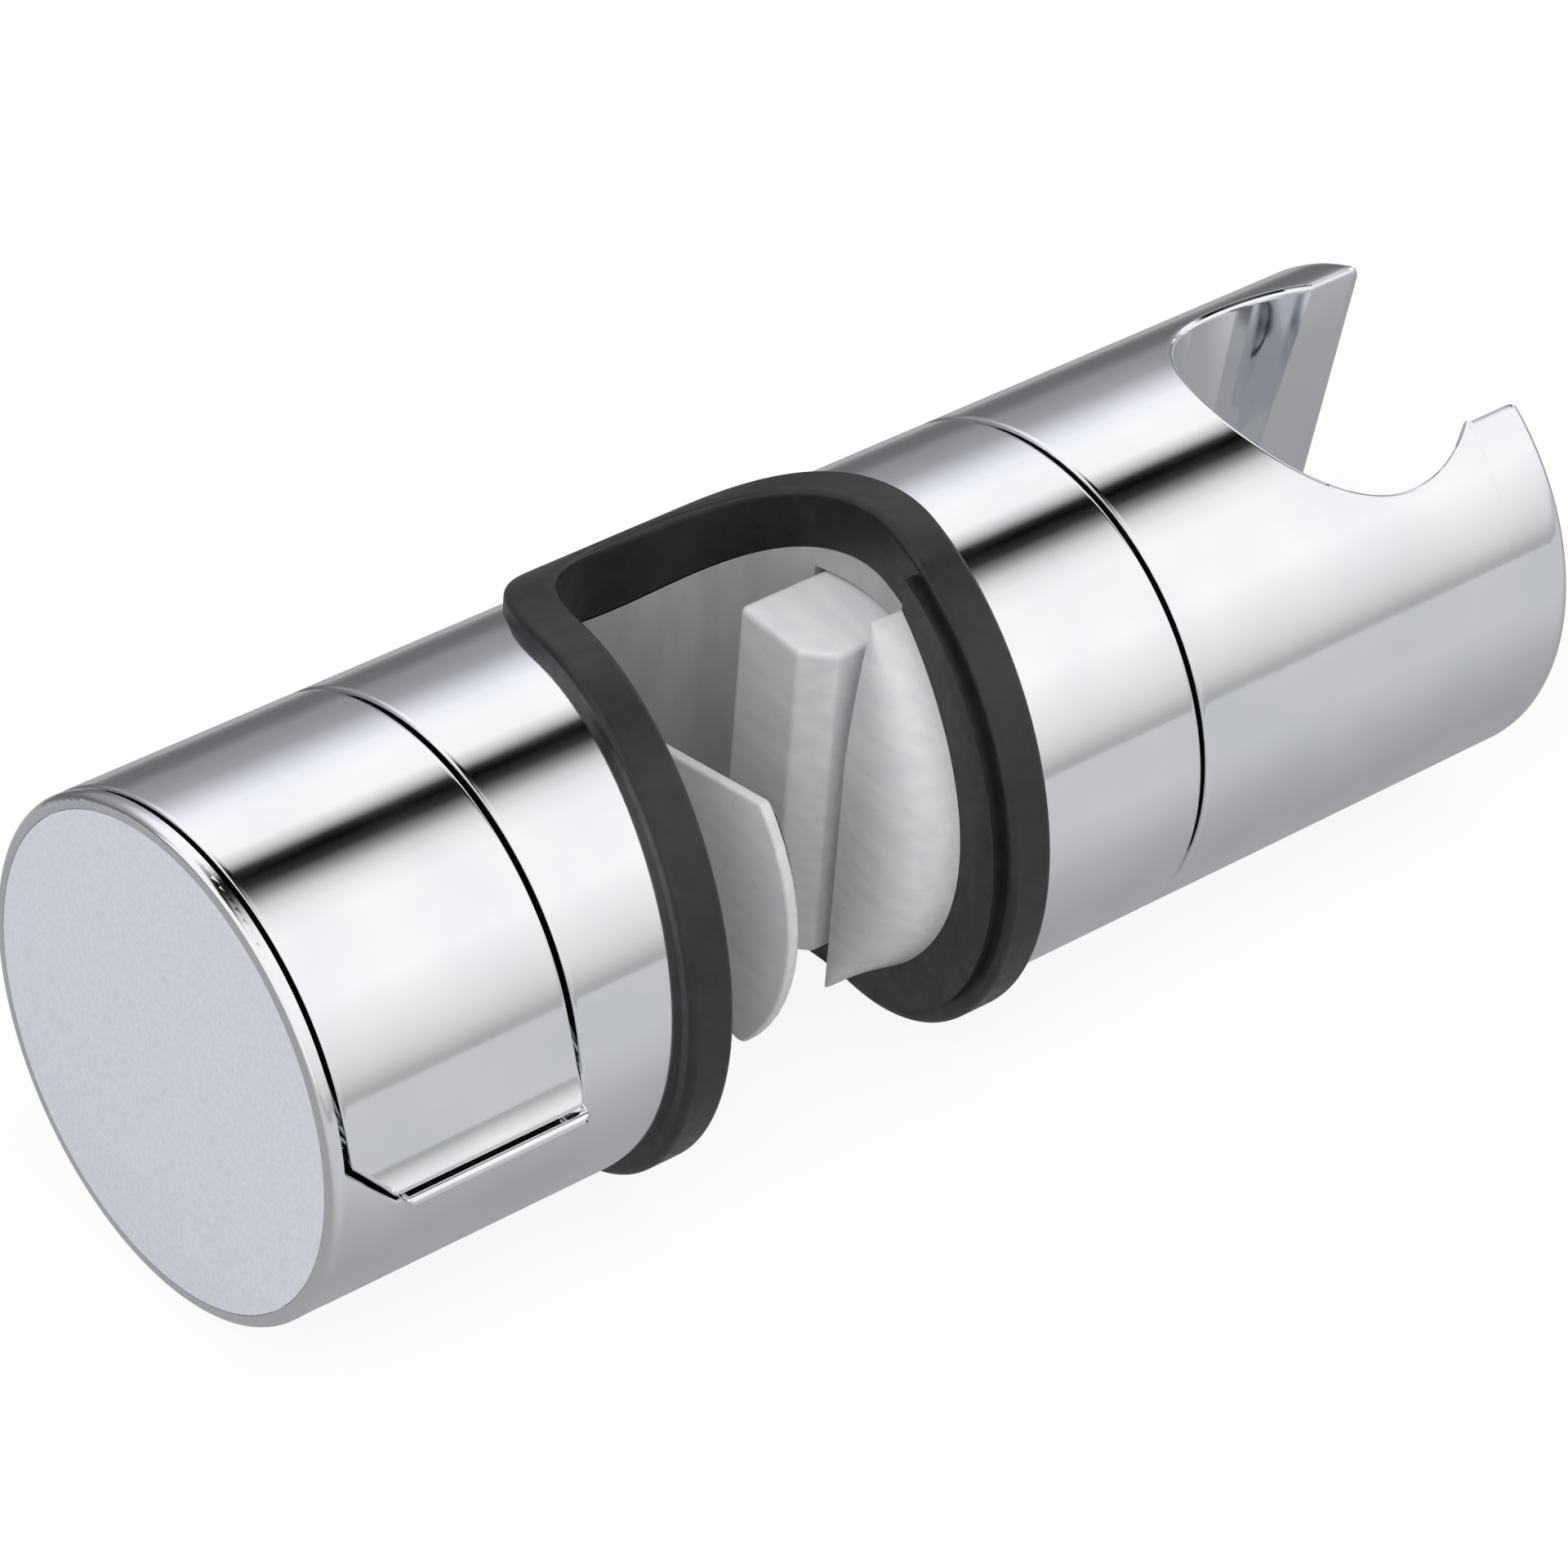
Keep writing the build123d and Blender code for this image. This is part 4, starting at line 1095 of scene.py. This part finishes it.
square = np.array([(-1, -1, 0), (1, -1, 0), (1, 1, 0), (-1, 1, 0)], float)
stage_sheet("floor", FLOOR_HALF * square + (0, 0, floor_z), [(0, 1, 2, 3)], white_paper())
print("floor at", round(floor_z, 4))

# %% [markdown]
# ## The light tent
# Chrome shows nothing but what stands round it. The photograph's chrome tells what stood there:
# a white tent in front and above, a narrow dark gap where its two sheets meet overhead, a
# bluish grey rear sheet, and a faint dark edge where the front sheet meets the table. The tent
# is a part of a cylinder about the slider's own axis, and only mirrors see it. Its brightness
# is a ramp over the angle round that axis, from the zenith towards the front.

# %% Light tent
TENT_RADIUS = 1.4
TENT_LOW_X, TENT_HIGH_X = -1.6, 3.4
TENT_FROM, TENT_TO = -120.0, 91.0
TENT_ROWS, TENT_COLUMNS = 121, 6
TENT_STRENGTH = 1.05
BLUE_BEHIND, BLUE_GAIN = -40, 1.06
TENT_TONES = [
    (-120, 0.33), (-113, 0.30), (-105, 0.20), (-97, 0.125), (-91, 0.17), (-84, 0.27),
    (-75, 0.31), (-68, 0.36), (-62, 0.52), (-55, 0.74), (-48, 0.93), (-40, 1.0),
    (-24, 0.98), (-18.5, 0.55), (-14.5, 0.02), (-11, 0.0), (-5.5, 0.03), (-1, 0.26),
    (4, 0.66), (10, 0.88), (18, 0.98), (48, 1.0), (62, 0.88), (72, 0.78),
    (80, 0.66), (85, 0.52), (88, 0.42), (91, 0.42),
]


def glowing(tree, surface, value, low, high, stops, strength):
    """Ends a material with a glow, whose colour is a ramp over a value between two bounds."""
    settings = {"From Min": low, "From Max": high}
    span = add(tree, "MapRange", settings, {"Value": value})
    colour = toned(tree, span.outputs["Result"], stops)
    glow = add(tree, "Emission", {"Strength": strength}, {"Color": colour})
    tree.links.new(glow.outputs[0], surface)


def tent_points():
    """A part of a cylinder: place = (x, -R sin a, R cos a), a from the zenith to the front."""
    angle = np.radians(np.linspace(TENT_FROM, TENT_TO, TENT_ROWS))[:, None]
    x = np.linspace(TENT_LOW_X, TENT_HIGH_X, TENT_COLUMNS)
    return points_of(x, -TENT_RADIUS * np.sin(angle), TENT_RADIUS * np.cos(angle)).reshape(-1, 3)


def tent_cloth():
    """The tent's glow over the angle atan2(-y, z). Its rear sheet is a little blue."""
    material, tree, surface, place = new_material("lit_tent_sheet")
    split = add(tree, "SeparateXYZ", links={0: place}).outputs
    front = reckon(tree, "MULTIPLY", split["Y"], -1.0)
    angle = reckon(tree, "ARCTAN2", front, split["Z"])
    stops = []
    for degrees, tone in TENT_TONES:
        blue = BLUE_GAIN if degrees < BLUE_BEHIND else 1.0
        stops.append(((degrees - TENT_FROM) / (TENT_TO - TENT_FROM),
                      (tone, tone, min(tone * blue, 1.0), 1.0)))
    glowing(tree, surface, angle, math.radians(TENT_FROM), math.radians(TENT_TO), stops,
            TENT_STRENGTH)
    return material


stage_sheet("light_tent", tent_points(), sheet_faces(TENT_ROWS, TENT_COLUMNS).tolist(),
            tent_cloth(), mirrors_only=True)
print("tent:", len(TENT_TONES), "tones over", TENT_TO - TENT_FROM, "degrees")

# %% [markdown]
# Below the horizon the chrome saw the table, which was grey and lay in the slider's own shade
# close to it. So a sheet for mirrors only lies a hair above the floor, with its brightness as a
# ramp from the front to the back. That ramp is the table's grey with painted shade: its tones
# drop close to the slider.

# %% Table for mirrors
TABLE_HALF = 1.39
TABLE_LIFT = 0.0005
TABLE_TINT = np.array([1.0, 1.01, 1.04])
# The tones are the table's grey. Close to the slider they drop, and there they are painted shade.
TABLE_TONES = [
    (-1.39, 0.61), (-0.40, 0.61), (-0.111, 0.60), (-0.065, 0.60), (-0.046, 0.55),
    (-0.040, 0.50), (-0.029, 0.42), (-0.019, 0.37), (0.02, 0.37), (0.09, 0.42),
    (0.117, 0.22), (0.16, 0.16), (1.39, 0.19),
]


def grey_table_and_painted_shade():
    """The table's glow over the distance from front to back, with painted shade close to the
    slider.
    """
    material, tree, surface, place = new_material("grey_table_and_painted_shade")
    split = add(tree, "SeparateXYZ", links={0: place}).outputs
    stops = [((y + TABLE_HALF) / (2 * TABLE_HALF), (*(tone * TABLE_TINT), 1.0))
             for y, tone in TABLE_TONES]
    glowing(tree, surface, split["Y"], -TABLE_HALF, TABLE_HALF, stops, 1.0)
    return material


corners = np.array([(TENT_LOW_X, -TABLE_HALF, 0), (TENT_HIGH_X, -TABLE_HALF, 0),
                    (TENT_HIGH_X, TABLE_HALF, 0), (TENT_LOW_X, TABLE_HALF, 0)])
stage_sheet("mirrored_table", corners + (0, 0, floor_z + TABLE_LIFT), [(0, 1, 2, 3)],
            grey_table_and_painted_shade(), mirrors_only=True)
print("table:", len(TABLE_TONES), "tones")

# %% [markdown]
# ## Lamps and world
# The world is white to the camera, to mirrors and through glass, and it lights the part softly
# from all sides. One large lamp from the left and in front, and a weaker one from above, give the
# plastics their shading. Both are as large as the soft boxes of a small studio. Together they
# bring a surface that faces them to about the colour that it is written in.

# %% World and lamps
world = bpy.data.worlds.new("studio")
bpy.context.scene.world = world
world.use_nodes = True
tree = world.node_tree
tree.nodes.clear()
output = add(tree, "OutputWorld")
ray = add(tree, "LightPath").outputs
seen = reckon(tree, "MAXIMUM", ray["Is Camera Ray"], ray["Is Glossy Ray"])
seen = reckon(tree, "MAXIMUM", seen, ray["Is Transmission Ray"])
soft = add(tree, "Background", {"Color": linear("#ffffff"), "Strength": 0.5})
white = add(tree, "Background", {"Color": linear("#ffffff"), "Strength": 1.0})
links = {0: seen, 1: soft.outputs[0], 2: white.outputs[0]}
mix = add(tree, "MixShader", links=links)
tree.links.new(mix.outputs[0], output.inputs["Surface"])


def lamp(name, place, size, watts):
    """A square soft box that points at the slider."""
    data = bpy.data.lights.new(name, "AREA")
    data.shape = "SQUARE"
    data.size = size
    data.energy = watts
    box = placed(name, data)
    turn = (-Vector(place)).to_track_quat("-Z", "Y").to_matrix().to_4x4()
    box.matrix_world = Matrix.Translation(place) @ turn
    box.visible_glossy = False
    print("lamp", name, "at", place, "with", watts, "W")


lamp("left_front_soft_box", (-1.25, -0.6, 1.35), 1.1, 17.0)
lamp("overhead_soft_box", (0.2, -0.5, 1.8), 1.2, 9.0)

bpy.context.scene.view_settings.view_transform = "Standard"
